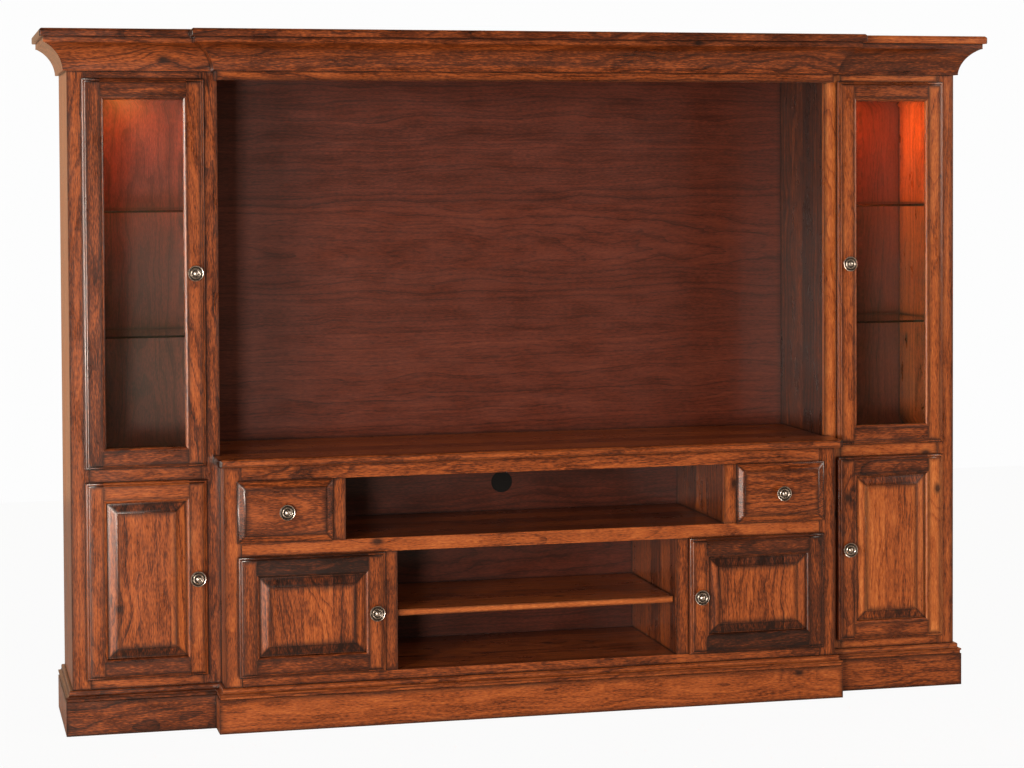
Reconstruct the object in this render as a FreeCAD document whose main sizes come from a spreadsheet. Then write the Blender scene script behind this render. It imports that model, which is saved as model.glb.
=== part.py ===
import FreeCAD, Part
import math
import os
import re
import Sketcher
from FreeCAD import Placement, Rotation, Vector

# A cherry wall unit in three bays. Two tall piers with lit glass cabinets stand at the ends, and
# between them a media console carries an open alcove that is closed at the top by a bridge.
# Origin: centre of the unit's footprint, on the floor. X runs to the right, Y to the wall, Z up.
# The unit is built on its right-hand side, and the left-hand pieces are its mirror twins.

# Driving sizes in millimetres, grouped by the piece that they belong to.
SIZES = dict(
    # Whole unit
    unit_height=2032, center_width=1874, pier_width=430.4, pier_depth=393,
    console_proud=85.4, bridge_proud=63.6, bridge_lap=8,
    # Stock
    side_board=19, shelf_board=19, frame_board=19, back_board=6.4, dado=6, overrun=5,
    # Face frames and the heights that doors and rails share
    pier_stile=53.2, console_stile=50.8, overlay=12.7, rail_show=38.1, mid_show=39.5,
    bottom_rail=76, deck_rail=42, door_foot=157, drawer_height=180.5, head_drop=139.7,
    # Plinth: flat fascia under a stepped base cap
    plinth_reach=19.6, plinth_fascia=98.2, base_cap=31.7, cap_quirk=3, lower_cove=8,
    lower_step=15.5, step_reach=10.4, upper_cove=4, bead_round=3,
    # Crown: bead, cove and fillet under a projecting cap board
    crown_cove=78.5, crown_fillet=16, crown_lip=11.1, crown_bead=4, crown_out=68.1,
    crown_step=3, crown_arc=92, crown_flat=30, crown_seat=24,
    cap_board=23.5, cap_reach=79.3, cap_round=8,
    # Bridge
    header_drop=145, soffit_rise=27,
    # Console
    deck_top=795, deck_board=24.5, deck_reach=30.8, deck_ear=20, deck_corner=12, deck_ease=3.5,
    slot_width=1163, bay_width=857.8, wire_hole=67,
    media_share=0.4367, shelf_setback=8, shelf_play=1,
    # Doors: framed, with a profiled outer edge and a bead round the opening
    door_board=19, door_gap=2, back_ease=2.6, edge_round=4, edge_step=6.5, edge_nose=5,
    stile_show=51.5, stick_width=9.5, stick_round=6.5, stick_quirk=0.5,
    groove_back=4, groove_width=6, groove_depth=8,
    panel_play=1.5, panel_shoulder=2, panel_bevel=39, panel_rise=5.2, panel_step=1.8, panel_edge=1.2,
    # Glass
    pane_glass=4.5, pane_rebate=8, pane_play=1, pane_bevel=20, pane_thin=2.2, retainer=6.5,
    shelf_glass=6.4, glass_play=1.5, glass_setback=12, low_share=0.3244, high_share=0.6516,
    # Cupboard shelves and their pins
    cupboard_share=0.495, pin_radius=2.5, pin_in=9, pin_out=9, pin_play=0.05,
    pin_inset=32, pin_pitch=37,
    # Drawers and their side-mounted slides
    drawer_lip=8, drawer_bevel=21, drawer_rise=8.5, drawer_step=1.5, box_board=12, box_bottom=6,
    box_height=120, box_lift=9, box_length=330, bottom_lift=10, slide_width=12.7, slide_height=45,
    slide_skin=1.5, slide_play=0.3, slide_length=320, blocking=60,
    # Concealed hinges: a cup in the door turns on a pin in the arm of the frame plate
    cup_radius=17.5, cup_depth=12.4, cup_floor=0.8, cup_edge=2.8, cup_play=0.1, hinge_inset=7.5,
    hinge_depth=9, hinge_pin=1.25, hinge_run=0.1, eye_radius=2.3, cavity_lead=3.5,
    cavity_length=27.5, cavity_half=5.5, pin_half=8.5, arm_half=4.5, arm_plate=1.6, arm_neck=12.2,
    plate_gap=1.5, plate_length=14, plate_half=14, hinge_end=85,
    # Knobs
    knob_radius=23, knob_inset=30, knob_neck=6.5, knob_waist=11, knob_flare=9, knob_crown=6,
    knob_height=27.5,
    # Puck lights
    puck_radius=33, puck_depth=12, lens_radius=27, lens_depth=3, light_recess=14,
)

# Sides, planes and levels that several pieces share, as expressions of the sizes
INNER = "(center_width / 2)"
OUTER = "(center_width / 2 + pier_width)"
WALL = "((pier_depth + bridge_proud + cap_reach) / 2)"
FACE = f"({WALL} - pier_depth)"
BEHIND = f"({FACE} + frame_board)"
BACK = f"({WALL} - back_board)"
CONSOLE = f"({FACE} - console_proud)"
CONSOLE_BEHIND = f"({CONSOLE} + frame_board)"
BRIDGE = f"({FACE} - bridge_proud)"
UNDER_CAP = "(unit_height - cap_board)"
CROWN_FOOT = f"({UNDER_CAP} - crown_fillet - crown_cove)"
DECK_UNDER = "(deck_top - deck_board)"
DOOR_HEAD = f"({DECK_UNDER} - deck_rail)"
DRAWER_FOOT = f"({DOOR_HEAD} - drawer_height)"
CONSOLE_DOOR_HEAD = f"({DRAWER_FOOT} - mid_show)"
GLASS_FOOT = f"({DOOR_HEAD} + rail_show)"
GLASS_HEAD = "(unit_height - head_drop)"
HEADER_FOOT = "(unit_height - header_drop)"
CUPBOARD_FLOOR = "(door_foot + overlay)"
CUPBOARD_TOP = f"({DOOR_HEAD} - overlay)"
DISPLAY_FLOOR = f"({GLASS_FOOT} + overlay)"
DISPLAY_TOP = f"({GLASS_HEAD} - overlay)"
CEILING = f"({DISPLAY_TOP} + light_recess)"
SLOT = "(slot_width / 2)"
BAY = "(bay_width / 2)"
# Undersides of the loose shelves, each at its share of the height of its bay
MEDIA_SHELF = f"(door_foot + media_share * ({CONSOLE_DOOR_HEAD} - door_foot))"
CONSOLE_SHELF = f"(door_foot + cupboard_share * ({CONSOLE_DOOR_HEAD} - door_foot))"
CUPBOARD_SHELF = f"(door_foot + cupboard_share * ({DOOR_HEAD} - door_foot))"
LOW_GLASS = f"({DISPLAY_FLOOR} + low_share * ({CEILING} - {DISPLAY_FLOOR}))"
HIGH_GLASS = f"({DISPLAY_FLOOR} + high_share * ({CEILING} - {DISPLAY_FLOOR}))"

os.makedirs("parts", exist_ok=True)
doc = FreeCAD.newDocument("wall_unit")
sheet = doc.addObject("Spreadsheet::Sheet", "Sizes")
for row, (size_name, size) in enumerate(SIZES.items(), start=1):
    sheet.set(f"A{row}", size_name)
    sheet.set(f"B{row}", str(size))
    sheet.setAlias(f"B{row}", size_name)
doc.recompute()

AXES = ("x", "y", "z")
PLANE_TURN = {
    "XY": Rotation(),
    "YZ": Rotation(Vector(1, 1, 1), 120),
    "XZ": Rotation(Vector(1, 0, 0), 90),
}
PLANE_AXIS = {"XY": "z", "YZ": "x", "XZ": "y"}
nodes = {}


def bound(text):
    """Point each size named in an expression at the sheet."""
    return re.sub(r"\b([a-z_]+)\b", r"Sizes.\1", text)


def bind(item, prop, text):
    """Drive a property of an object from the sheet."""
    item.setExpression(prop, bound(text))


def number(text):
    """The present value of an expression of the sizes."""
    return float(sheet.evalExpression(bound(text)))


def arc_edge(start, end, turn, radius):
    """A minor arc between two points, which turns left (+1) or right (-1) on its way."""
    chord = end - start
    half = chord.Length / 2
    rise = math.sqrt(max(radius ** 2 - half ** 2, 0))
    left = Vector(-chord.y, chord.x, 0).normalize()
    centre = (start + end) / 2 + left * rise * turn
    first, last = (start, end) if turn > 0 else (end, start)
    angles = [math.atan2(p.y - centre.y, p.x - centre.x) for p in (first, last)]
    if angles[1] < angles[0]:
        angles[1] += 2 * math.pi
    circle = Part.Circle(centre, Vector(0, 0, 1), max(radius, half))
    return Part.ArcOfCircle(circle, *angles), (1, 2) if turn > 0 else (2, 1)


def draw(sketch, corners, arcs=None):
    """Draw a closed outline and hold each corner by the sheet. arcs maps the number of the
    corner that an edge leaves to the arc's turn and radius."""
    arcs = arcs or {}
    points = [Vector(number(x), number(y), 0) for x, y in corners]
    ends = []
    for i, start in enumerate(points):
        end = points[(i + 1) % len(points)]
        if i in arcs:
            turn, radius = arcs[i]
            shape, order = arc_edge(start, end, turn, number(radius))
        else:
            shape, order = Part.LineSegment(start, end), (1, 2)
        ends.append((sketch.addGeometry(shape), *order))
    rules, places = [], {}
    for i, (edge, first, last) in enumerate(ends):
        following, following_first, _ = ends[(i + 1) % len(ends)]
        rules.append(Sketcher.Constraint("Coincident", edge, last, following, following_first))
        for kind, axis, place in zip(("DistanceX", "DistanceY"), AXES, corners[i]):
            rules.append(Sketcher.Constraint(kind, -1, 1, edge, first, number(place)))
            rules[-1].Name = f"{axis}{i}"
            places[rules[-1].Name] = place
        if i in arcs:
            rules.append(Sketcher.Constraint("Radius", edge, number(arcs[i][1])))
            rules[-1].Name = f"radius{i}"
            places[rules[-1].Name] = arcs[i][1]
    sketch.addConstraint(rules)
    for name, place in places.items():
        if place != "0":
            bind(sketch, "Constraints." + name, place)


def board(label, x, y, z):
    """A plain board between a low and a high place along each axis."""
    box = doc.addObject("Part::Box", label)
    for size, axis, (low, high) in zip(("Length", "Width", "Height"), AXES, (x, y, z)):
        bind(box, size, f"({high}) - ({low})")
        bind(box, "Placement.Base." + axis, low)
    return box


def rod(label, axis, at, low, high, radius, sides=0):
    """A bar along one axis, between two places on it. at gives its other two places. Small
    pieces that repeat many times are drawn with a few flat sides in place of a round."""
    bar = doc.addObject("Part::Prism" if sides else "Part::Cylinder", label)
    if sides:
        bar.Polygon = sides
    index = AXES.index(axis)
    turns = (Rotation(Vector(0, 1, 0), 90), Rotation(Vector(1, 0, 0), -90), Rotation())
    bar.Placement = Placement(Vector(), turns[index])
    places = list(at)
    places.insert(index, low)
    for name, place in zip(AXES, places):
        bind(bar, "Placement.Base." + name, place)
    bind(bar, "Circumradius" if sides else "Radius", radius)
    bind(bar, "Height", f"({high}) - ({low})")
    return bar


def prism(label, plane, corners, low, high, arcs=None):
    """Extrude an outline between two places on the axis square to its plane."""
    axis = PLANE_AXIS[plane]
    sketch = doc.addObject("Sketcher::SketchObject", label + "_outline")
    draw(sketch, corners, arcs)
    sketch.Placement = Placement(Vector(), PLANE_TURN[plane])
    bind(sketch, "Placement.Base." + axis, low)
    solid = doc.addObject("Part::Extrusion", label)
    solid.Base = sketch
    solid.DirMode = "Custom"
    solid.Dir = Vector(*[float(name == axis) for name in AXES])
    solid.Solid = True
    bind(solid, "LengthFwd", f"({high}) - ({low})")
    return solid


def joined(kind, label, base, tool):
    """A boolean of two objects: Part::Common, Part::Cut or Part::Fuse."""
    result = doc.addObject(kind, label)
    result.Base = base
    result.Tool = tool
    return result


def cut(label, base, tools):
    """Cut one piece by the pieces that are let into it."""
    tool = tools[0]
    if len(tools) > 1:
        tool = doc.addObject("Part::Compound", label + "_tools")
        tool.Links = tools
    return joined("Part::Cut", label, base, tool)


def twin(label, source):
    """The left-hand copy of a right-hand piece."""
    copy = doc.addObject("Part::Mirroring", label)
    copy.Source = source
    copy.Normal = Vector(1, 0, 0)
    return copy


def node(name, pieces):
    """Name a sub-part. Several pieces are grouped and stay separate solids."""
    part = pieces[0]
    if len(pieces) > 1:
        part = doc.addObject("Part::Compound", name)
        part.Links = pieces
    part.Label = name
    nodes[name] = part
    return part


def pair(name, pieces):
    """A right-hand sub-part and its left-hand twin."""
    right = node("right_" + name, pieces)
    node("left_" + name, [twin("left_" + name, right)])


def slab(label, corners, low, thickness, size, chosen, kind="Fillet"):
    """A PartDesign board padded from its plan, with some of its edges rounded over or eased
    with a chamfer."""
    body = doc.addObject("PartDesign::Body", label)
    sketch = body.newObject("Sketcher::SketchObject", label + "_plan")
    plane = [p for p in body.Origin.OriginFeatures if p.Role == "XY_Plane"][0]
    sketch.AttachmentSupport = (plane, [""])
    sketch.MapMode = "FlatFace"
    draw(sketch, corners)
    pad = body.newObject("PartDesign::Pad", label + "_pad")
    pad.Profile = sketch
    bind(pad, "Length", thickness)
    bind(body, "Placement.Base.z", low)
    doc.recompute()
    edges = [f"Edge{i}" for i, edge in enumerate(pad.Shape.Edges, start=1) if chosen(edge)]
    easing = body.newObject("PartDesign::" + kind, label + "_eased")
    easing.Base = (pad, edges)
    bind(easing, {"Fillet": "Radius", "Chamfer": "Size"}[kind], size)
    body.Tip = easing
    return body


def sided(low, high, edge):
    """The part of an outline that a profiled edge gives on both sides of a piece. edge lists
    inset and depth from the back of the piece to its front."""
    first = [(f"{low} + {inset}", depth) for inset, depth in edge]
    return first + [(f"{high} - {inset}", depth) for inset, depth in reversed(edge)]


def crossed(label, x, back, z, edge):
    """A flat piece with one profile run round all four edges and mitred at its corners: the
    common part of its cross section and its upright section."""
    plan = [(u, f"{back} - {v}") for u, v in sided(*x, edge)]
    section = [(f"{back} - {v}", u) for u, v in sided(*z, edge)]
    across = prism(label + "_across", "XY", plan, *z)
    upright = prism(label + "_upright", "YZ", section, *x)
    return joined("Part::Common", label, across, upright)


def shifted(place, step, reach):
    """A place moved out, in or not at all by a moulding's reach."""
    return {0: place, 1: f"({place} + {reach})", -1: f"({place} - {reach})"}[step]


def front_run(label, profile, arcs, reach, foot, top, line, start, end):
    """A length of moulding that faces the room. start and end give its place and its mitre."""
    wide = f"({reach} + overrun)"
    length = (f"{start[0]} - {wide}", f"{end[0]} + {wide}")
    turned = {i: (-turn, radius) for i, (turn, radius) in arcs.items()}
    bar = prism(label + "_bar", "YZ", [(f"{line} - {r}", z) for r, z in profile], *length, turned)
    plan = [(start[0], line), (shifted(*start, wide), f"{line} - {wide}"),
            (shifted(*end, wide), f"{line} - {wide}"), (end[0], line)]
    mitre = prism(label + "_mitre", "XY", plan, f"{foot} - overrun", f"{top} + overrun")
    return joined("Part::Common", label, bar, mitre)


def side_run(label, profile, arcs, reach, foot, top, line, start, end):
    """A return of moulding that faces the right-hand side, from front to back."""
    wide = f"({reach} + overrun)"
    length = (f"{start[0]} - {wide}", f"{end[0]} + {wide}")
    bar = prism(label + "_bar", "XZ", [(f"{line} + {r}", z) for r, z in profile], *length, arcs)
    plan = [(line, start[0]), (f"{line} + {wide}", shifted(*start, wide)),
            (f"{line} + {wide}", shifted(*end, wide)), (line, end[0])]
    mitre = prism(label + "_mitre", "XY", plan, f"{foot} - overrun", f"{top} + overrun")
    return joined("Part::Common", label, bar, mitre)


# Shelf pins: plain steel pegs in blind holes
PEG_SIDES = 6
pins = []


def pegs(label, face, inward, rows, under):
    """Pegs that carry a shelf at one side of a bay, and the holes that they sit in. inward is
    +1 where the bay lies at the higher X side of the face."""
    low, high = ("pin_in", "pin_out") if inward > 0 else ("pin_out", "pin_in")
    holes = []
    for i, place in enumerate(rows):
        ends = ((place, f"{under} - pin_radius"), f"{face} - {low}", f"{face} + {high}")
        pins.append(rod(f"{label}_pin_{i}", "x", *ends, "pin_radius", PEG_SIDES))
        holes.append(rod(f"{label}_hole_{i}", "x", *ends, "pin_radius + pin_play", PEG_SIDES))
    return holes


PIER_ROWS = (f"{BEHIND} + pin_inset", f"{BACK} - pin_inset")
CONSOLE_ROWS = (f"{CONSOLE_BEHIND} + pin_inset", f"{BACK} - pin_inset")

# Pier carcass: two sides with three fixed boards and a back let into them
let_in = (f"{INNER} + side_board - dado", f"{OUTER} - side_board + dado")
depth = (BEHIND, BACK)
pier_floor = board("pier_floor", let_in, depth, (f"{CUPBOARD_FLOOR} - shelf_board", CUPBOARD_FLOOR))
pier_divider = board("pier_divider", let_in, depth, (f"{DISPLAY_FLOOR} - shelf_board", DISPLAY_FLOOR))
pier_ceiling = board("pier_ceiling", let_in, depth, (CEILING, f"{CEILING} + shelf_board"))
pier_back = board("pier_back", let_in, (BACK, WALL), (f"{CUPBOARD_FLOOR} - shelf_board", UNDER_CAP))
fixed = [pier_floor, pier_divider, pier_ceiling, pier_back]
inner_face, outer_face = f"({INNER} + side_board)", f"({OUTER} - side_board)"
inner_holes, outer_holes = [], []
for name, under in (("cupboard", CUPBOARD_SHELF), ("low_glass", LOW_GLASS),
                    ("high_glass", HIGH_GLASS)):
    inner_holes += pegs(name + "_inner", inner_face, 1, PIER_ROWS, under)
    outer_holes += pegs(name + "_outer", outer_face, -1, PIER_ROWS, under)
upright = ("0", UNDER_CAP)
inner_blank = board("inner_blank", (INNER, inner_face), (BEHIND, WALL), upright)
outer_blank = board("outer_blank", (outer_face, OUTER), (BEHIND, WALL), upright)
pair("inner_side", [cut("inner_side", inner_blank, fixed + inner_holes)])
pair("outer_side", [cut("outer_side", outer_blank, fixed + outer_holes)])
pair("fixed_shelves", [pier_floor, pier_divider, pier_ceiling])
pair("pier_back", [pier_back])

# Pier face frame: two stiles to the floor and three rails between them
frame_depth = (FACE, BEHIND)
between = (f"{INNER} + pier_stile", f"{OUTER} - pier_stile")
pair("face_frame", [
    board("frame_inner_stile", (INNER, between[0]), frame_depth, upright),
    board("frame_outer_stile", (between[1], OUTER), frame_depth, upright),
    board("frame_bottom_rail", between, frame_depth,
          (f"{CUPBOARD_FLOOR} - bottom_rail", CUPBOARD_FLOOR)),
    board("frame_middle_rail", between, frame_depth, (CUPBOARD_TOP, DISPLAY_FLOOR)),
    board("frame_top_rail", between, frame_depth, (DISPLAY_TOP, UNDER_CAP)),
])

# Crown moulding, sprung off the face: a bead, a cove and a fillet, mitred at every corner
crown_profile = [
    ("0", CROWN_FOOT), ("crown_lip", CROWN_FOOT), ("crown_lip", f"{CROWN_FOOT} + crown_bead"),
    ("(crown_out - crown_step)", f"{CROWN_FOOT} + crown_cove"),
    ("crown_out", f"{CROWN_FOOT} + crown_cove"), ("crown_out", UNDER_CAP),
    ("(crown_out - crown_flat)", UNDER_CAP), ("0", f"{CROWN_FOOT} + crown_seat"),
]
crown_arcs = {2: (-1, "crown_arc")}
crown = (crown_profile, crown_arcs, "crown_out", CROWN_FOOT, UNDER_CAP)
BRIDGE_END = f"({INNER} + bridge_lap)"
pair("crown", [
    front_run("pier_crown_front", *crown, FACE, (BRIDGE_END, 1), (OUTER, 1)),
    side_run("pier_crown_return", *crown, OUTER, (FACE, -1), (WALL, 0)),
])
bridge_return = side_run("bridge_crown_return", *crown, BRIDGE_END, (BRIDGE, -1), (FACE, -1))
node("bridge_crown", [
    front_run("bridge_crown_front", *crown, BRIDGE, (f"-{BRIDGE_END}", -1), (BRIDGE_END, 1)),
    bridge_return, twin("bridge_crown_left_return", bridge_return),
])

# Cap boards that lie on the crown, rounded over along the edges that show
cap_front = f"({FACE} - cap_reach)"
cap_side = f"({OUTER} + cap_reach)"


TOUCH = 1e-4


def top_edges(thickness, places):
    """A chooser of the edges at the top of a slab that lie at given places along X or Y."""
    def chosen(edge):
        box = edge.BoundBox
        if abs(box.ZMin - number(thickness)) > TOUCH:
            return False
        for axis, place in places:
            low, high = getattr(box, axis + "Min"), getattr(box, axis + "Max")
            if abs(low - number(place)) < TOUCH and abs(high - number(place)) < TOUCH:
                return True
        return False
    return chosen


pier_cap_plan = [(INNER, cap_front), (cap_side, cap_front), (cap_side, WALL), (INNER, WALL)]
pair("cap", [slab("pier_cap", pier_cap_plan, UNDER_CAP, "cap_board", "cap_round",
                  top_edges("cap_board", [("Y", cap_front), ("X", cap_side)]))])
EAR = f"({BRIDGE_END} + cap_reach)"
bridge_cap_front = f"({BRIDGE} - cap_reach)"
bridge_cap_plan = [
    (f"-{EAR}", bridge_cap_front), (EAR, bridge_cap_front), (EAR, cap_front), (INNER, cap_front),
    (INNER, WALL), (f"-{INNER}", WALL), (f"-{INNER}", cap_front), (f"-{EAR}", cap_front),
]
node("bridge_cap", [slab("bridge_cap", bridge_cap_plan, UNDER_CAP, "cap_board", "cap_round",
                         top_edges("cap_board", [("Y", bridge_cap_front), ("X", EAR),
                                                 ("X", f"-{EAR}")]))])

# A small quarter round or cove is drawn as two flats. Their shared point lies at these parts of
# the radius, from the start of the round and from its centre.
NEAR, FAR = f"{1 - math.sqrt(0.5):.4f}", f"{math.sqrt(0.5):.4f}"

# Plinth: a flat fascia and a stepped base cap, mitred round the piers and the console
BASE_TOP = "(plinth_fascia + base_cap)"
fascia = ([("0", "0"), ("plinth_reach", "0"), ("plinth_reach", "plinth_fascia"),
           ("0", "plinth_fascia")], {}, "plinth_reach", "0", "plinth_fascia")
LEDGE = "plinth_fascia + lower_step"
base_profile = [
    ("0", "plinth_fascia"), ("(plinth_reach - cap_quirk)", "plinth_fascia"),
    ("(plinth_reach - cap_quirk)", "plinth_fascia + lower_cove"),
    (f"(plinth_reach - {FAR} * cap_quirk)", f"plinth_fascia + lower_cove + {FAR} * cap_quirk"),
    ("plinth_reach", "plinth_fascia + lower_cove + cap_quirk"), ("plinth_reach", LEDGE),
    ("(step_reach + upper_cove)", LEDGE),
    (f"(step_reach + {NEAR} * upper_cove)", f"{LEDGE} + {NEAR} * upper_cove"),
    ("step_reach", f"{LEDGE} + upper_cove"), ("step_reach", f"{BASE_TOP} - bead_round"),
    (f"(step_reach - {NEAR} * bead_round)", f"{BASE_TOP} - {NEAR} * bead_round"),
    ("(step_reach - bead_round)", BASE_TOP), ("0", BASE_TOP),
]
base = (base_profile, {}, "plinth_reach", "plinth_fascia", BASE_TOP)
pier_plinth, console_returns, console_fronts = [], [], []
for name, moulding in (("fascia", fascia), ("base_cap", base)):
    pier_plinth.append(front_run(f"pier_{name}_front", *moulding, FACE, (INNER, 1), (OUTER, 1)))
    pier_plinth.append(side_run(f"pier_{name}_return", *moulding, OUTER, (FACE, -1), (WALL, 0)))
    console_fronts.append(front_run(f"console_{name}_front", *moulding, CONSOLE,
                                    (f"-{INNER}", -1), (INNER, 1)))
    console_returns.append(side_run(f"console_{name}_return", *moulding, INNER,
                                    (CONSOLE, -1), (FACE, -1)))
pair("plinth", pier_plinth)
node("console_plinth", console_fronts + console_returns
     + [twin(piece.Label + "_left", piece) for piece in console_returns])

# Console carcass: sides, floor, divider, partitions and a back with a wire hole
let_in = (f"-({INNER} - side_board + dado)", f"{INNER} - side_board + dado")
depth = (CONSOLE_BEHIND, BACK)
console_floor = board("console_floor", let_in, depth, ("door_foot - shelf_board", "door_foot"))
UNDER_DIVIDER = f"({DRAWER_FOOT} - shelf_board)"
console_divider = board("console_divider", let_in, depth, (UNDER_DIVIDER, DRAWER_FOOT))
back_blank = board("console_back_blank", let_in, (BACK, WALL), ("door_foot - shelf_board", DECK_UNDER))
console_inner = f"({INNER} - side_board)"
side_blank = board("console_side_blank", (console_inner, INNER), (CONSOLE_BEHIND, WALL),
                   ("0", DECK_UNDER))
side_holes = pegs("console_side", console_inner, -1, CONSOLE_ROWS, CONSOLE_SHELF)
console_side = cut("console_side", side_blank,
                   [console_floor, console_divider, back_blank] + side_holes)
node("console_sides", [console_side, twin("console_left_side", console_side)])
node("console_floor", [console_floor])
node("console_divider", [console_divider])
WIRE_HEIGHT = f"(({DRAWER_FOOT} + {DOOR_HEAD}) / 2)"
wire_bore = rod("wire_bore", "y", ("0", WIRE_HEIGHT), f"{BACK} - overrun", f"{WALL} + overrun",
                "wire_hole / 2")
node("console_back", [cut("console_back", back_blank, [wire_bore])])

# Partitions. The lower ones have rows of peg holes towards the open bay; the drawer bays have
# blocking strips that bring the slides out to the face frame.
bay_outer = f"({BAY} + side_board)"
lower_blank = board("lower_blank", (BAY, bay_outer), depth, ("door_foot", UNDER_DIVIDER))
bay_holes = []
HOLES_BELOW, HOLES_ABOVE = 3, 4
for step in range(-HOLES_BELOW, HOLES_ABOVE + 1):
    for i, row_place in enumerate(CONSOLE_ROWS):
        at = (row_place, f"{MEDIA_SHELF} - pin_radius + {step} * pin_pitch")
        bay_holes.append(rod(f"bay_hole_{step + HOLES_BELOW}_{i}", "x", at, f"{BAY} - overrun",
                             f"{BAY} + pin_in", "pin_radius + pin_play", PEG_SIDES))
for i, row_place in enumerate(CONSOLE_ROWS):
    pins.append(rod(f"bay_pin_{i}", "x", (row_place, f"{MEDIA_SHELF} - pin_radius"),
                    f"{BAY} - pin_out", f"{BAY} + pin_in", "pin_radius", PEG_SIDES))
cupboard_holes = pegs("console_partition", bay_outer, 1, CONSOLE_ROWS, CONSOLE_SHELF)
lower_partition = cut("lower_partition", lower_blank, bay_holes + cupboard_holes)
slot_outer = f"({SLOT} + side_board)"
upper_partition = board("upper_partition", (SLOT, slot_outer), depth, (DRAWER_FOOT, DECK_UNDER))
BAY_IN, BAY_OUT = f"({SLOT} + console_stile)", f"({INNER} - console_stile)"
BOX_FOOT = f"({DRAWER_FOOT} + overlay + box_lift)"
SLIDE = f"({BOX_FOOT} + box_height / 2)"
block_height = (f"{SLIDE} - blocking / 2", f"{SLIDE} + blocking / 2")
inner_block = board("inner_blocking", (slot_outer, BAY_IN), depth, block_height)
outer_block = board("outer_blocking", (BAY_OUT, console_inner), depth, block_height)
partition_pieces = [lower_partition, upper_partition, inner_block, outer_block]
node("console_partitions", partition_pieces
     + [twin(piece.Label + "_left", piece) for piece in partition_pieces])

# Console face frame. Each rail is one board, left wider by the overlay where a door or a
# drawer closes on it and cut back over the open bays.
FRAME_IN = f"({INNER} - console_stile)"
BAY_STILE = f"({BAY} + console_stile)"


def notched(label, top, bottom):
    """A rail whose upper and lower edges step between heights at given half widths."""
    right = bottom + top[::-1]
    left = [(f"-{x}", z) for x, z in reversed(right)]
    return prism(label, "XZ", right + left, CONSOLE, CONSOLE_BEHIND)


low_head = f"({DOOR_HEAD} - overlay)"
top_rail = notched("console_top_rail", [(FRAME_IN, DECK_UNDER)],
                   [(BAY_IN, DOOR_HEAD), (BAY_IN, low_head), (FRAME_IN, low_head)])
high_foot = f"({DRAWER_FOOT} + overlay)"
low_mid = f"({CONSOLE_DOOR_HEAD} - overlay)"
mid_rail = notched("console_middle_rail",
                   [(BAY_IN, DRAWER_FOOT), (BAY_IN, high_foot), (FRAME_IN, high_foot)],
                   [(BAY_STILE, CONSOLE_DOOR_HEAD), (BAY_STILE, low_mid), (FRAME_IN, low_mid)])
rail_foot = f"({CUPBOARD_FLOOR} - bottom_rail)"
bottom_rail = notched("console_bottom_rail",
                      [(BAY_STILE, "door_foot"), (BAY_STILE, CUPBOARD_FLOOR),
                       (FRAME_IN, CUPBOARD_FLOOR)], [(FRAME_IN, rail_foot)])
frame_depth = (CONSOLE, CONSOLE_BEHIND)
stiles = [
    board("console_outer_stile", (FRAME_IN, INNER), frame_depth, ("0", DECK_UNDER)),
    board("console_upper_stile", (SLOT, BAY_IN), frame_depth, (DRAWER_FOOT, DOOR_HEAD)),
    board("console_lower_stile", (BAY, BAY_STILE), frame_depth, ("door_foot", CONSOLE_DOOR_HEAD)),
]
node("console_face_frame", [top_rail, mid_rail, bottom_rail] + stiles
     + [twin(piece.Label + "_left", piece) for piece in stiles])

# Deck: a thick top whose ears run in front of the piers, with round corners and edges
deck_front = f"({CONSOLE} - deck_reach)"
deck_side = f"({INNER} + deck_ear)"
deck_half = [
    (f"{deck_side} - deck_corner", deck_front),
    (f"{deck_side} - {NEAR} * deck_corner", f"{deck_front} + {NEAR} * deck_corner"),
    (deck_side, f"{deck_front} + deck_corner"), (deck_side, FACE), (INNER, FACE), (INNER, BACK),
]
deck_plan = deck_half + [(f"-({x})", y) for x, y in reversed(deck_half)]


def deck_edge(edge):
    """Whether an edge of the deck shows at its front or at an ear's side."""
    box = edge.BoundBox
    level = box.ZLength < TOUCH
    ahead = box.YMax < number(FACE) + TOUCH and box.YMin < number(FACE) - TOUCH
    return level and ahead


node("console_deck", [slab("console_deck", deck_plan, DECK_UNDER, "deck_board", "deck_ease",
                           deck_edge, "Chamfer")])

# Loose shelf of the open bay, on pegs
play = f"({BAY} - shelf_play)"
node("console_shelf", [board("media_board", (f"-{play}", play),
                             (f"{CONSOLE_BEHIND} + shelf_setback", f"{BACK} - shelf_play"),
                             (MEDIA_SHELF, f"{MEDIA_SHELF} + shelf_board"))])

# Bridge: a header board with returns to the piers, a soffit and the alcove's back
return_in = f"({BRIDGE_END} - frame_board)"
header_height = (HEADER_FOOT, UNDER_CAP)
header_return = board("header_return", (return_in, BRIDGE_END), (f"{BRIDGE} + frame_board", FACE),
                      header_height)
node("bridge_header", [
    board("header_board", (f"-{BRIDGE_END}", BRIDGE_END), (BRIDGE, f"{BRIDGE} + frame_board"),
          header_height),
    header_return, twin("header_left_return", header_return),
])
soffit_half = [(return_in, f"{BRIDGE} + frame_board"), (return_in, FACE), (INNER, FACE), (INNER, BACK)]
soffit_plan = soffit_half + [(f"-({x})", y) for x, y in reversed(soffit_half)]
SOFFIT = f"({HEADER_FOOT} + soffit_rise)"
node("bridge_soffit", [prism("soffit_board", "XY", soffit_plan, SOFFIT, f"{SOFFIT} + shelf_board")])
node("alcove_back", [board("alcove_panel", (f"-{INNER}", INNER), (BACK, WALL),
                           (DECK_UNDER, UNDER_CAP))])

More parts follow.
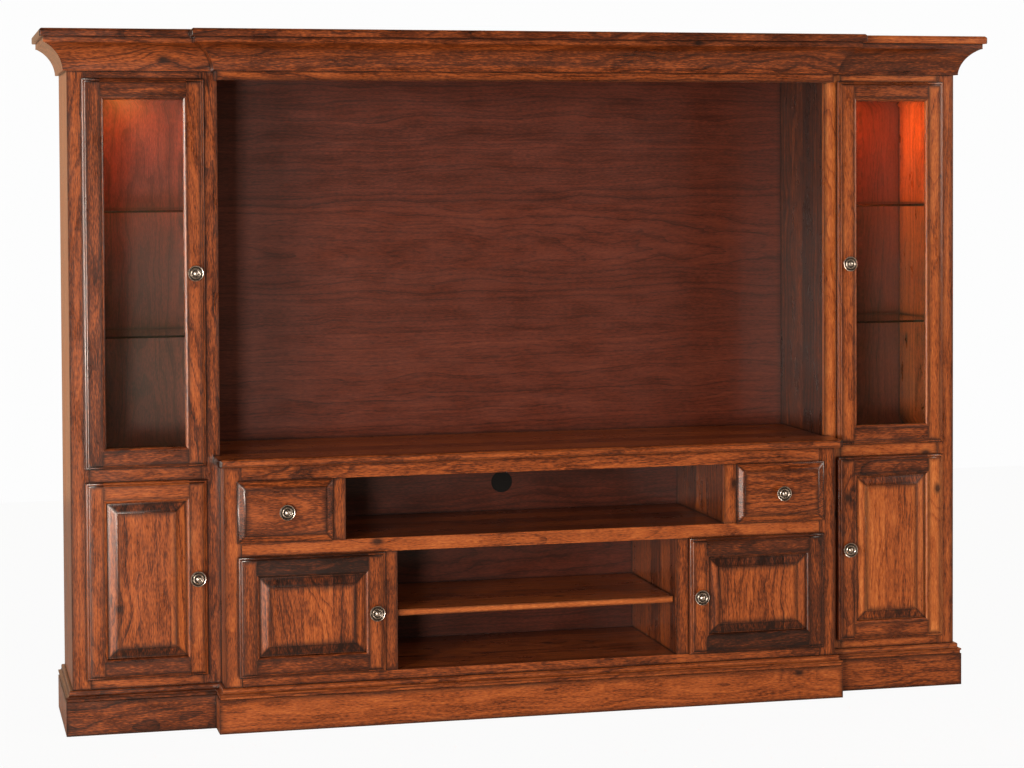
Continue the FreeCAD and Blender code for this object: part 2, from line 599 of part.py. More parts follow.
# Cupboard shelves and glass shelves, on their pegs
pier_play = (f"{inner_face} + shelf_play", f"{outer_face} - shelf_play")
pier_cupboard = board("pier_cupboard_shelf", pier_play,
                      (f"{BEHIND} + shelf_setback", f"{BACK} - shelf_play"),
                      (CUPBOARD_SHELF, f"{CUPBOARD_SHELF} + shelf_board"))
console_cupboard = board("console_cupboard_shelf", (f"{bay_outer} + shelf_play",
                                                    f"{console_inner} - shelf_play"),
                         (f"{CONSOLE_BEHIND} + shelf_setback", f"{BACK} - shelf_play"),
                         (CONSOLE_SHELF, f"{CONSOLE_SHELF} + shelf_board"))
node("cupboard_shelves", [pier_cupboard, console_cupboard,
                          twin("pier_cupboard_left", pier_cupboard),
                          twin("console_cupboard_left", console_cupboard)])
glass_play = (f"{inner_face} + glass_play", f"{outer_face} - glass_play")
glass_depth = (f"{BEHIND} + glass_setback", f"{BACK} - glass_play")
glass = [board("low_glass_shelf", glass_play, glass_depth, (LOW_GLASS, f"{LOW_GLASS} + shelf_glass")),
         board("high_glass_shelf", glass_play, glass_depth, (HIGH_GLASS, f"{HIGH_GLASS} + shelf_glass"))]
node("glass_shelves", glass + [twin(piece.Label + "_left", piece) for piece in glass])

# Puck lights: a shallow round housing under the ceiling of each glass cabinet, with its lens
# standing a little proud
PUCK = (f"({INNER} + pier_width / 2)", f"(({BEHIND} + {BACK}) / 2)")
PUCK_SIDES = 24
puck_rim = f"({CEILING} - puck_depth + lens_depth)"
housing = rod("puck_housing", "z", PUCK, puck_rim, CEILING, "puck_radius", PUCK_SIDES)
lens = rod("puck_lens", "z", PUCK, f"({CEILING} - puck_depth)", puck_rim, "lens_radius", PUCK_SIDES)
puck = joined("Part::Fuse", "puck", housing, lens)
node("puck_lights", [puck, twin("left_puck", puck)])

# Concealed hinges. The pivot lies inside the door's thickness, close to its edge, so that the
# door turns clear of the frame; the arm leaves the cup through its open back.
NECK = "(hinge_inset + arm_neck)"
SEAT = "(door_gap + plate_gap)"
CUP_SIDES = 16
PIVOT_SIDES = 12
hinge_arms = []


def hinge(label, edge, back, height):
    """One hinge at a door's right-hand edge. Adds the frame's arm to the arms, and gives the
    cup with its pin and the bore that the cup sits in."""
    def at(inward, rearward):
        return f"{edge} - {inward}", f"{back} + {rearward}"
    level = (f"{height} - arm_half", f"{height} + arm_half")
    web = "arm_plate / 2"
    outline = [
        at("hinge_inset", f"(-hinge_depth - {web})"), at("hinge_inset", f"(-hinge_depth + {web})"),
        at(NECK, f"(-hinge_depth + {web})"), at(NECK, SEAT),
        at("overlay", SEAT), at("overlay", f"({SEAT} + plate_length)"),
        at("(overlay + arm_plate)", f"({SEAT} + plate_length)"),
        at("(overlay + arm_plate)", f"({SEAT} + arm_plate)"),
        at(f"({NECK} + arm_plate)", f"({SEAT} + arm_plate)"),
        at(f"({NECK} + arm_plate)", f"(-hinge_depth - {web})"),
    ]
    strip = prism(label + "_strip", "XY", outline, *level)
    plate = board(label + "_plate", (f"{edge} - overlay - arm_plate", f"{edge} - overlay"),
                  (f"{back} + {SEAT}", f"{back} + {SEAT} + plate_length"),
                  (f"{height} - plate_half", f"{height} + plate_half"))
    pivot = at("hinge_inset", "(-hinge_depth)")
    eye = rod(label + "_eye", "z", pivot, *level, "eye_radius", PIVOT_SIDES)
    arm = doc.addObject("Part::MultiFuse", label + "_arm_blank")
    arm.Shapes = [strip, plate, eye]
    bore = rod(label + "_eye_bore", "z", pivot, *level, "hinge_pin + hinge_run", PIVOT_SIDES)
    hinge_arms.append(cut(label + "_arm", arm, [bore]))
    centre = f"{edge} - cup_edge - cup_radius"
    cup_back = (f"{back} - cup_depth", back)
    disc = rod(label + "_disc", "y", (centre, height), *cup_back, "cup_radius", CUP_SIDES)
    lead = f"{edge} - hinge_inset + cavity_lead"
    cavity = board(label + "_cavity", (f"{lead} - cavity_length", lead),
                   (f"{back} - cup_depth + cup_floor", f"{back} + overrun"),
                   (f"{height} - cavity_half", f"{height} + cavity_half"))
    pin = rod(label + "_pin", "z", pivot, f"{height} - pin_half", f"{height} + pin_half", "hinge_pin",
              PIVOT_SIDES)
    cup = joined("Part::Fuse", label + "_cup", cut(label + "_shell", disc, [cavity]), pin)
    bore = rod(label + "_bore", "y", (centre, height), f"{back} - cup_depth", f"{back} + overrun",
               "cup_radius + cup_play", CUP_SIDES)
    return cup, bore


KNOB_SIDES = 20


def eased(body, base, level, size):
    """Chamfer every edge of a PartDesign piece that lies at one distance from its foot."""
    doc.recompute()
    edges = [f"Edge{i}" for i, edge in enumerate(base.Shape.Edges, start=1)
             if max(abs(v.Point.z - number(level)) for v in edge.Vertexes) < TOUCH]
    chamfer = body.newObject("PartDesign::Chamfer", base.Label + "_eased")
    chamfer.Base = (base, edges)
    bind(chamfer, "Size", size)
    return chamfer


def knob(label, place, face, height):
    """A knob with a wide chamfered head on a short neck, fixed to a front face."""
    body = doc.addObject("PartDesign::Body", label)
    head = body.newObject("PartDesign::AdditivePrism", label + "_head")
    bind(head, "Placement.Base.z", "knob_waist")
    bind(head, "Height", "knob_height - knob_waist")
    bind(head, "Circumradius", "knob_radius")
    head.Polygon = KNOB_SIDES
    flared = eased(body, head, "knob_waist", "knob_flare")
    eased(body, flared, "knob_height", "knob_crown")
    neck = body.newObject("PartDesign::AdditivePrism", label + "_neck")
    bind(neck, "Height", "knob_waist")
    bind(neck, "Circumradius", "knob_neck")
    neck.Polygon = KNOB_SIDES
    body.Tip = neck
    body.Placement = Placement(Vector(), Rotation(Vector(1, 0, 0), 90))
    for axis, at in zip(AXES, (place, face, height)):
        bind(body, "Placement.Base." + axis, at)
    return body


# Framed doors: a blank with its profiled edge, less the opening with its bead and groove,
# parted into stiles and rails that meet square and mitre at the bead
SIGHT = "(stile_show + stick_width)"
GROOVE_FRONT = "(groove_back + groove_width)"
EDGE_LIP = "(door_board - edge_nose - edge_round)"
EDGE_LEDGE = f"({EDGE_LIP} + edge_round)"
door_edge = [("back_ease", "0"), ("0", "back_ease"), ("0", EDGE_LIP),
             (f"({NEAR} * edge_round)", f"({EDGE_LIP} + {FAR} * edge_round)"),
             ("edge_round", EDGE_LEDGE), ("edge_step", EDGE_LEDGE),
             (f"(edge_step + {NEAR} * edge_nose)", f"({EDGE_LEDGE} + {FAR} * edge_nose)"),
             ("(edge_step + edge_nose)", "door_board")]
BEAD = "(door_board - stick_quirk)"
bead_edge = [(SIGHT, f"({BEAD} - stick_round)"),
             (f"({SIGHT} - {NEAR} * stick_round)", f"({BEAD} - {NEAR} * stick_round)"),
             ("(stile_show + stick_width - stick_round)", BEAD),
             ("stile_show", BEAD), ("stile_show", "(door_board + overrun)")]
GROOVE = f"({SIGHT} - groove_depth)"
REBATE = f"({SIGHT} - pane_rebate)"
panel_opening = [(SIGHT, "-overrun"), (SIGHT, "groove_back"), (GROOVE, "groove_back"),
                 (GROOVE, GROOVE_FRONT), (SIGHT, GROOVE_FRONT)] + bead_edge
pane_opening = [(REBATE, "-overrun"), (REBATE, GROOVE_FRONT), (SIGHT, GROOVE_FRONT)] + bead_edge


def door_frame(label, x, back, z, opening, hinges):
    """The two stiles and two rails of a door, with the hinge bores in the right-hand stile."""
    blank = crossed(label + "_blank", x, back, z, door_edge)
    void = crossed(label + "_void", x, back, z, opening)
    ring = cut(label + "_ring", blank, [void] + hinges)
    (left, right), (foot, head) = x, z
    show = [f"({left} + stile_show)", f"({right} - stile_show)"]
    sight = [f"({left} + {SIGHT})", f"({right} - {SIGHT})"]
    low, high = f"({foot} + stile_show)", f"({head} - stile_show)"
    sight_low, sight_high = f"({foot} + {SIGHT})", f"({head} - {SIGHT})"
    past = [f"({left} - overrun)", f"({right} + overrun)"]
    below, above = f"({foot} - overrun)", f"({head} + overrun)"
    layout = {}
    for i, name in enumerate(("inner_stile", "outer_stile")):
        layout[name] = [(past[i], below), (show[i], below), (show[i], low), (sight[i], sight_low),
                        (sight[i], sight_high), (show[i], high), (show[i], above), (past[i], above)]
    for name, start, edge, bead in (("lower_rail", below, low, sight_low),
                                    ("upper_rail", above, high, sight_high)):
        layout[name] = [(show[0], start), (show[1], start), (show[1], edge), (sight[1], bead),
                        (sight[0], bead), (show[0], edge)]
    pieces = []
    for name, outline in layout.items():
        part = prism(f"{label}_{name}_part", "XZ", outline, f"{back} - door_board - overrun",
                     f"{back} + overrun")
        pieces.append(joined("Part::Common", f"{label}_{name}", ring, part))
    return pieces


def raised_panel(label, x, back, z):
    """A raised panel whose tongue floats in the groove of the frame."""
    tongue = f"({GROOVE} + panel_play)"
    field = "(stile_show + panel_bevel)"
    high = f"({GROOVE_FRONT} + panel_rise)"
    edge = [(tongue, "groove_back"), (tongue, GROOVE_FRONT),
            (f"({SIGHT} + panel_shoulder)", GROOVE_FRONT), (f"({field} - panel_edge)", high),
            (field, high), (field, f"({high} + panel_step)")]
    return crossed(label, x, back, z, edge)


def bevelled_pane(label, x, back, z):
    """A pane with a wide bevel on its front, and the strips that hold it in its rebate."""
    rear = f"({GROOVE_FRONT} - pane_glass)"
    edge = [(f"({REBATE} + pane_play)", rear), (f"({REBATE} + pane_play)", f"({rear} + pane_thin)"),
            (f"({SIGHT} + pane_bevel)", GROOVE_FRONT)]
    pane = crossed(label, x, back, z, edge)
    (left, right), (foot, head) = x, z
    strip_depth = (f"{back} - {rear}", f"{back} - stick_quirk")
    outer, inner = REBATE, f"({REBATE} + retainer)"
    upright = (f"{foot} + {outer}", f"{head} - {outer}")
    level = (f"{left} + {inner}", f"{right} - {inner}")
    strips = [
        board(label + "_strip_left", (f"{left} + {outer}", f"{left} + {inner}"), strip_depth, upright),
        board(label + "_strip_right", (f"{right} - {inner}", f"{right} - {outer}"), strip_depth, upright),
        board(label + "_strip_low", level, strip_depth, (f"{foot} + {outer}", f"{foot} + {inner}")),
        board(label + "_strip_high", level, strip_depth, (f"{head} - {inner}", f"{head} - {outer}")),
    ]
    return pane, strips


PIER_DOOR = (f"({INNER} + pier_stile - overlay)", f"({OUTER} - pier_stile + overlay)")
CONSOLE_DOOR = (f"({BAY_STILE} - overlay)", f"({INNER} - console_stile + overlay)")
PIER_DOOR_BACK = f"({FACE} - door_gap)"
CONSOLE_DOOR_BACK = f"({CONSOLE} - door_gap)"
doors = (
    ("glass", PIER_DOOR, PIER_DOOR_BACK, (GLASS_FOOT, GLASS_HEAD), True),
    ("cupboard", PIER_DOOR, PIER_DOOR_BACK, ("door_foot", DOOR_HEAD), False),
    ("console", CONSOLE_DOOR, CONSOLE_DOOR_BACK, ("door_foot", CONSOLE_DOOR_HEAD), False),
)
for name, x, back, z, glazed in doors:
    foot, head = z
    middle = f"(({foot} + {head}) / 2)"
    heights = [f"({foot} + hinge_end)", f"({head} - hinge_end)"]
    if glazed:
        heights.append(middle)
    cups, bores = [], []
    for i, height in enumerate(heights):
        cup, bore = hinge(f"{name}_hinge_{i}", x[1], back, height)
        cups.append(cup)
        bores.append(bore)
    frame = door_frame(name + "_door", x, back, z, pane_opening if glazed else panel_opening, bores)
    if glazed:
        pane, strips = bevelled_pane("glass_door_pane", x, back, z)
        pair("glass_door_frame", frame + strips)
        pair("glass_door_pane", [pane])
    else:
        pair(f"{name}_door_frame", frame)
        pair(f"{name}_door_panel", [raised_panel(f"{name}_door_panel", x, back, z)])
    handle = knob(name + "_knob", f"{x[0]} + knob_inset", f"{back} - door_board", middle)
    pair(f"{name}_door_hardware", [handle] + cups)
node("hinge_arms", hinge_arms + [twin(arm.Label + "_left", arm) for arm in hinge_arms])
node("shelf_pins", pins + [twin(pin.Label + "_left", pin) for pin in pins])

# Drawers: a bevelled front on a four-sided box that runs on side-mounted slides
DRAWER = (f"({BAY_IN} - overlay)", f"({INNER} - console_stile + overlay)")
DRAWER_Z = (DRAWER_FOOT, DOOR_HEAD)
bevel_high = "(drawer_lip + drawer_rise)"
drawer_edge = [("0", "0"), ("0", "drawer_lip"), ("drawer_bevel", bevel_high),
               ("(drawer_bevel + drawer_step)", bevel_high),
               ("(drawer_bevel + drawer_step)", "door_board")]
pair("drawer_front", [crossed("drawer_front", DRAWER, CONSOLE_DOOR_BACK, DRAWER_Z, drawer_edge)])
BOX_IN, BOX_OUT = f"({BAY_IN} + slide_width)", f"({BAY_OUT} - slide_width)"
BOX_FRONT = CONSOLE_DOOR_BACK
BOX_BACK = f"({BOX_FRONT} + box_length)"
box_z = (BOX_FOOT, f"{BOX_FOOT} + box_height")
bottom = board("box_bottom", (f"{BOX_IN} + box_board / 2", f"{BOX_OUT} - box_board / 2"),
               (f"{BOX_FRONT} + box_board / 2", f"{BOX_BACK} - box_board / 2"),
               (f"{BOX_FOOT} + bottom_lift", f"{BOX_FOOT} + bottom_lift + box_bottom"))
box_x = (f"{BOX_IN} + box_board", f"{BOX_OUT} - box_board")
walls = {
    "inner_wall": ((BOX_IN, box_x[0]), (BOX_FRONT, BOX_BACK)),
    "outer_wall": ((box_x[1], BOX_OUT), (BOX_FRONT, BOX_BACK)),
    "front_wall": (box_x, (BOX_FRONT, f"{BOX_FRONT} + box_board")),
    "back_wall": (box_x, (f"{BOX_BACK} - box_board", BOX_BACK)),
}
pair("drawer_box", [bottom] + [cut(f"box_{name}", board(f"box_{name}_blank", *place, box_z), [bottom])
                               for name, place in walls.items()])

# Slides: a channel on the blocking, and a bar on the drawer that runs inside it
slide_front = f"({CONSOLE_BEHIND} + slide_skin)"
slide_reach = (slide_front, f"{slide_front} + slide_length")
channels, bars = [], []
for name, wall, step in (("inner", BAY_IN, "+"), ("outer", BAY_OUT, "-")):
    def out(distance):
        return f"{wall} {step} {distance}"
    low, high = f"{SLIDE} - slide_height / 2", f"{SLIDE} + slide_height / 2"
    lips = "(slide_width - slide_skin - slide_play)"
    outline = [
        (wall, low), (out(lips), low), (out(lips), f"{low} + slide_skin"),
        (out("slide_skin"), f"{low} + slide_skin"), (out("slide_skin"), f"{high} - slide_skin"),
        (out(lips), f"{high} - slide_skin"), (out(lips), high), (wall, high),
    ]
    channels.append(prism(f"{name}_channel", "XZ", outline, *slide_reach))
    sides = sorted([out("slide_width"), out("(slide_skin + slide_play)")], key=number)
    bars.append(board(f"{name}_bar", sides, slide_reach,
                      (f"{low} + slide_skin + slide_play", f"{high} - slide_skin - slide_play")))
node("drawer_slides", channels + [twin(piece.Label + "_left", piece) for piece in channels])
drawer_knob = knob("drawer_knob", f"({DRAWER[0]} + {DRAWER[1]}) / 2",
                   f"{CONSOLE_DOOR_BACK} - door_board", f"({DRAWER_FOOT} + {DOOR_HEAD}) / 2")
pair("drawer_hardware", [drawer_knob] + bars)

# Check every object, then write one STEP file for each sub-part
doc.recompute()
for item in doc.Objects:
    if "Invalid" in item.State or "Error" in item.State:
        raise RuntimeError(f"{item.Label} failed: {item.State}")
for name, part in nodes.items():
    shape = part.Shape
    if shape.isNull() or not shape.isValid() or min(s.Volume for s in shape.Solids) <= 0:
        raise RuntimeError(f"{name} has no valid solid")
    shape.exportStep(f"parts/{name}.step")
    print(name, len(shape.Solids))
print(len(nodes), "sub-parts,", sum(len(part.Shape.Solids) for part in nodes.values()), "solids")
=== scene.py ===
import math
import random

import bmesh
import bpy
from mathutils import Euler, Matrix, Vector


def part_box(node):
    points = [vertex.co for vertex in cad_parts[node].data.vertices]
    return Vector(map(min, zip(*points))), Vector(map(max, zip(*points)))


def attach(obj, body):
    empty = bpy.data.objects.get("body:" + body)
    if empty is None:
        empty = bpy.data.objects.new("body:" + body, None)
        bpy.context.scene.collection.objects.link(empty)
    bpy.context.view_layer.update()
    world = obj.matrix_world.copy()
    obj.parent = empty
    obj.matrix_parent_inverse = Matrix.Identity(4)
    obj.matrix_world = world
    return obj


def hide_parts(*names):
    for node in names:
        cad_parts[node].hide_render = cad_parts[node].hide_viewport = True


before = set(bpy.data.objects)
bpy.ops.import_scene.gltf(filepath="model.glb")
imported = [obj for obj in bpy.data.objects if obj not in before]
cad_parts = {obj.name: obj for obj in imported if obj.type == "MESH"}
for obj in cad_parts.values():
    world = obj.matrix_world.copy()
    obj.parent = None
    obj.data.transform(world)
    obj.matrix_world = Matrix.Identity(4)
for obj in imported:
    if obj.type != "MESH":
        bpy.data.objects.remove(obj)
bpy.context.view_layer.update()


# Pier sides
# Four tall boards glued up from strips of rustic cherry, stained dark red-brown, with a black-brown glaze
# left in every recess, deepened there by painted shade, and satin lacquer on top. The outer two are the
# unit's visible ends.

# Points closer than MERGE are one, flats within FLAT of each other are one, and edges sharper than
# CREASE get eased. Sandpaper takes HAIR_EDGE off each of them.
MERGE = 0.000002
FLAT = math.radians(0.4)
CREASE = math.radians(34)
HAIR_EDGE = 0.0005
# A board wider than GLUED_FROM strips is glued up from strips. Any other is drawn as one strip of
# the width ONE_STRIP. Each board's shade is up to STAIN_SPREAD off the mean.
STRIP = 0.098
GLUED_FROM = 1.4
ONE_STRIP = 9.0
STAIN_SPREAD = 0.08
# Boards are counted by their places along this line, so that each run draws the same for them.
COUNTING_LINE = Vector((1.0, 1.7, 2.3))
# The glaze fades over RIM_SHARE of a flat's width at most. Flats under NARROW_FLAT hold EDGE_GLAZE
# of it all over, and flats with more than MOST_CORNERS hold none.
RIM_SHARE = 0.34
NARROW_FLAT = 0.004
EDGE_GLAZE = 0.55
MOST_CORNERS = 12


def closed_boards(work):
    """The faces of each closed board in a mesh, in the order of their first faces."""
    for face in work.faces:
        face.tag = False
    boards = []
    for first in work.faces:
        if first.tag:
            continue
        first.tag = True
        board = [first]
        for face in board:
            for edge in face.edges:
                if len(edge.link_faces) != 2:
                    continue
                for other in edge.link_faces:
                    if not other.tag:
                        other.tag = True
                        board.append(other)
        boards.append(board)
    return boards


def board_box(board):
    """The lowest and the highest corner of the box round a board's faces."""
    spots = [v.co for f in board for v in f.verts]
    low = Vector([min(spot[k] for spot in spots) for k in range(3)])
    high = Vector([max(spot[k] for spot in spots) for k in range(3)])
    return low, high


def cut_boards(node, ease=HAIR_EDGE, steps=1):
    """A node's boards as whole flats with eased edges, each parted from those it touches."""
    work = bmesh.new()
    work.from_mesh(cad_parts[node].data)
    bmesh.ops.remove_doubles(work, verts=work.verts, dist=MERGE)
    number = work.faces.layers.int.new("number")
    boards = closed_boards(work)
    for count, board in enumerate(boards):
        for face in board:
            face[number] = count
    for count in range(1, len(boards)):
        bmesh.ops.split(work, geom=[f for f in work.faces if f[number] == count], use_only_faces=True)
    bmesh.ops.dissolve_limit(work, angle_limit=FLAT, verts=work.verts, edges=work.edges)
    crisp = [e for e in work.edges if e.is_manifold and e.calc_face_angle(0) > CREASE]
    if ease:
        bmesh.ops.bevel(work, geom=crisp, offset=ease, offset_type="OFFSET", affect="EDGES",
                        segments=steps, profile=0.5, material=-1, clamp_overlap=True)
    work.faces.layers.int.remove(work.faces.layers.int["number"])
    return work


def mark_rims(work, reach):
    """Gives each flat an inner outline, and marks its own edge 1 and the inner outline 0, so that
    the glaze can fade from the edges towards the middle. The eased edges are rubbed to about half
    of it, and flats with short steps or many corners stay clean."""
    rim = work.loops.layers.float.new("rim")
    for face in list(work.faces):
        width = 2 * face.calc_area() / face.calc_perimeter()
        band = min(reach, RIM_SHARE * width)
        if width < NARROW_FLAT:
            for corner in face.loops:
                corner[rim] = EDGE_GLAZE
        elif (4 <= len(face.verts) <= MOST_CORNERS
              and min(e.calc_length() for e in face.edges) > 1.5 * band):
            edge = set(face.verts)
            ring = bmesh.ops.inset_individual(work, faces=[face], thickness=band,
                                              use_even_offset=True)["faces"]
            for corner in [c for f in ring for c in f.loops if c.vert in edge]:
                corner[rim] = 1.0


def lay_grain(work, seed, along, strip, deeper_stain_and_shade, level_steep, soak):
    """Writes each board's own length, width and thickness at its points, for the wood's pattern, and how
    much darker the board is drawn, by a deeper stain and, on boards in shaded places, by painted shade:
    level boards take it deeper by level_steep, and slopes across the grain by soak."""
    grain = work.verts.layers.float_vector.new("grain")
    stock = work.faces.layers.float_vector.new("stock")
    stain_and_shade_depth = work.faces.layers.float.new("stain_and_shade_depth")
    draw = random.Random(seed)
    boards = closed_boards(work)
    boards.sort(key=lambda board: sum(board_box(board), Vector()) @ COUNTING_LINE)
    for board in boards:
        low, high = board_box(board)
        size = high - low
        order = sorted(range(3), key=lambda k: -size[k])
        if along is not None and order[0] != along:
            order.remove(along)
            order.insert(0, along)
        middle = (low + high) / 2
        for v in {v for f in board for v in f.verts}:
            away = v.co - middle
            v[grain] = Vector((away[order[0]], away[order[1]], away[order[2]]))
        mark = draw.random()
        width = strip if size[order[1]] > GLUED_FROM * strip else ONE_STRIP
        stain_and_shade_taken = deeper_stain_and_shade + draw.uniform(-STAIN_SPREAD, STAIN_SPREAD)
        if order[0] == 0:
            stain_and_shade_taken += level_steep
        for f in board:
            f[stock] = Vector((mark, width, soak * abs(f.normal[order[0]])))
            f[stain_and_shade_depth] = stain_and_shade_taken


def put_in_scene(name, data):
    """A new object in the scene with this mesh, lamp or camera."""
    thing = bpy.data.objects.new(name, data)
    bpy.context.scene.collection.objects.link(thing)
    return thing


def place_piece(name, work, finish, nodes, body):
    """Makes the piece, keeps its flats flat beside rounded edges, and hands it its node's place."""
    mesh = bpy.data.meshes.new(name)
    work.to_mesh(mesh)
    work.free()
    for polygon in mesh.polygons:
        polygon.use_smooth = True
    mesh.set_sharp_from_angle(angle=CREASE)
    for material in finish:
        mesh.materials.append(material)
    piece = put_in_scene(name, mesh)
    level = piece.modifiers.new("flats", "WEIGHTED_NORMAL")
    level.keep_sharp = True
    level.weight = 100
    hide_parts(*nodes)
    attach(piece, body)
    return piece


def wooden(node, body, finish, along=None, strip=STRIP, deeper_stain_and_shade=0.0, level_steep=0.0,
           soak=1.0, ease=HAIR_EDGE, steps=1, rims=0.018):
    """A node's boards with their grain laid, in one finish. The grain follows each board's longest
    side or the given axis, and rims is how far the glaze reaches in from a flat's edges."""
    work = cut_boards(node, ease, steps)
    if rims:
        mark_rims(work, rims)
    lay_grain(work, node, along, strip, deeper_stain_and_shade, level_steep, soak)
    return place_piece(node + "_finished", work, [finish], [node], body)


def linear(hex_colour, alpha=1.0):
    """An sRGB hex colour as the linear values that a shader takes."""
    parts = [int(hex_colour[k:k + 2], 16) / 255 for k in (1, 3, 5)]
    return (*[p / 12.92 if p <= 0.04045 else ((p + 0.055) / 1.055) ** 2.4 for p in parts], alpha)


def new_finish(name):
    """A new material and its empty node tree."""
    finish = bpy.data.materials.new(name)
    finish.use_nodes = True
    finish.node_tree.nodes.clear()
    return finish, finish.node_tree


def add(tree, kind, feeds=None, **settings):
    """Adds a node with its settings, and feeds its sockets with values or with other sockets. A
    socket goes by its name, or by its number where a node has several of the same name."""
    node = tree.nodes.new(kind)
    for setting, value in settings.items():
        setattr(node, setting, value)
    for socket, value in (feeds or {}).items():
        if isinstance(value, bpy.types.NodeSocket):
            tree.links.new(value, node.inputs[socket])
        else:
            node.inputs[socket].default_value = value
    return node


def stained_wood(name, shades, roughness, knots=1.0, glaze_and_shade_strength=1.0, figure=1.0):
    """Solid wood cut from round logs: growth rings, fibre, mottling, streaks and knots, under
    lacquer. The shades are the darkest late wood, the palest early wood, and those between."""
    wood, tree = new_finish(name)
    place = add(tree, "ShaderNodeAttribute", attribute_name="grain").outputs["Vector"]
    stock = add(tree, "ShaderNodeAttribute", attribute_name="stock").outputs["Vector"]
    stain_and_shade_depth = add(tree, "ShaderNodeAttribute", attribute_name="stain_and_shade_depth").outputs["Fac"]
    mark, width, end = add(tree, "ShaderNodeSeparateXYZ", {0: stock}).outputs
    length, across, depth = add(tree, "ShaderNodeSeparateXYZ", {0: place}).outputs

    # Each strip of a glued-up board comes from another log.
    run = add(tree, "ShaderNodeMath", {0: across, 1: width}, operation="DIVIDE").outputs[0]
    shifted = add(tree, "ShaderNodeMath", {0: run, 1: mark}, operation="ADD").outputs[0]
    strip = add(tree, "ShaderNodeMath", {0: shifted}, operation="FLOOR").outputs[0]
    which = add(tree, "ShaderNodeCombineXYZ", {0: mark, 1: strip, 2: 0.37}).outputs[0]
    log = add(tree, "ShaderNodeTexWhiteNoise", {"Vector": which}, noise_dimensions="3D")
    tone, toss = log.outputs["Value"], log.outputs["Color"]
    toss_x, toss_y, toss_z = add(tree, "ShaderNodeSeparateXYZ", {0: toss}).outputs
    far = add(tree, "ShaderNodeVectorMath", {0: toss, 1: (7.0, 5.0, 3.0)}, operation="MULTIPLY").outputs[0]
    spot = add(tree, "ShaderNodeVectorMath", {0: place, 1: far}, operation="ADD").outputs[0]

    # Knots stand about 350 mm apart, and only some places have one.
    flat = add(tree, "ShaderNodeVectorMath", {0: spot, 1: (2.6, 4.0, 0.0)}, operation="MULTIPLY").outputs[0]
    cell = add(tree, "ShaderNodeTexVoronoi", {"Vector": flat, "Scale": 1.0}, voronoi_dimensions="2D")
    lucky = add(tree, "ShaderNodeSeparateXYZ", {0: cell.outputs["Color"]}).outputs[0]
    has = add(tree, "ShaderNodeMath", {0: lucky, 1: 1.0 - 0.40 * knots},
              operation="GREATER_THAN").outputs[0]
    swirl = add(tree, "ShaderNodeMapRange", {0: cell.outputs["Distance"], 1: 0.0, 2: 0.3, 3: 1.0, 4: 0.0},
                interpolation_type="SMOOTHERSTEP").outputs[0]
    lift = add(tree, "ShaderNodeMath", {0: swirl, 1: has}, operation="MULTIPLY").outputs[0]

    # The pith lies 35 to 110 mm under the face and leans, which draws the cathedral arches.
    lean = add(tree, "ShaderNodeMath", {0: toss_x, 1: -0.5}, operation="ADD").outputs[0]
    fall = add(tree, "ShaderNodeMath", {0: lean, 1: 0.16}, operation="MULTIPLY").outputs[0]
    drift = add(tree, "ShaderNodeMath", {0: length, 1: fall}, operation="MULTIPLY").outputs[0]
    deep = add(tree, "ShaderNodeMath", {0: toss_z, 1: 0.075, 2: 0.035}, operation="MULTIPLY_ADD").outputs[0]
    below = add(tree, "ShaderNodeMath", {0: depth, 1: deep}, operation="ADD").outputs[0]
    under = add(tree, "ShaderNodeMath", {0: below, 1: drift}, operation="ADD").outputs[0]
    aside = add(tree, "ShaderNodeMath", {0: toss_y, 1: 0.07, 2: -0.035},
                operation="MULTIPLY_ADD").outputs[0]
    beside = add(tree, "ShaderNodeMath", {0: across, 1: aside}, operation="ADD").outputs[0]
    arm = add(tree, "ShaderNodeCombineXYZ", {0: beside, 1: under}).outputs[0]
    reach = add(tree, "ShaderNodeVectorMath", {0: arm}, operation="LENGTH").outputs["Value"]
    bend = add(tree, "ShaderNodeVectorMath", {0: spot, 1: (3.4, 11.0, 11.0)},
               operation="MULTIPLY").outputs[0]
    sway = add(tree, "ShaderNodeTexNoise", {"Vector": bend, "Scale": 1.0, "Detail": 2.0}).outputs["Fac"]
    swayed = add(tree, "ShaderNodeMath", {0: sway, 1: 0.062, 2: reach}, operation="MULTIPLY_ADD").outputs[0]
    ringed = add(tree, "ShaderNodeMath", {0: lift, 1: 0.018, 2: swayed},
                 operation="MULTIPLY_ADD").outputs[0]

    # Rings 11 mm apart, coarser than the tree's own 3 mm, so that they show at this distance. Each
    # darkens towards its late wood and ends there at once.
    rings = add(tree, "ShaderNodeMath", {0: ringed, 1: 92.0}, operation="MULTIPLY").outputs[0]
    season = add(tree, "ShaderNodeMath", {0: rings}, operation="FRACT").outputs[0]
    line = add(tree, "ShaderNodeMath", {0: season, 1: 3.5}, operation="POWER").outputs[0]
    years = add(tree, "ShaderNodeTexNoise", {"W": rings, "Scale": 0.9, "Detail": 2.0, "Roughness": 0.5},
                noise_dimensions="1D").outputs["Fac"]
    grown = add(tree, "ShaderNodeMapRange", {0: years, 1: 0.38, 2: 0.66, 3: 0.12, 4: 1.0}).outputs[0]
    late = add(tree, "ShaderNodeMath", {0: line, 1: grown}, operation="MULTIPLY").outputs[0]

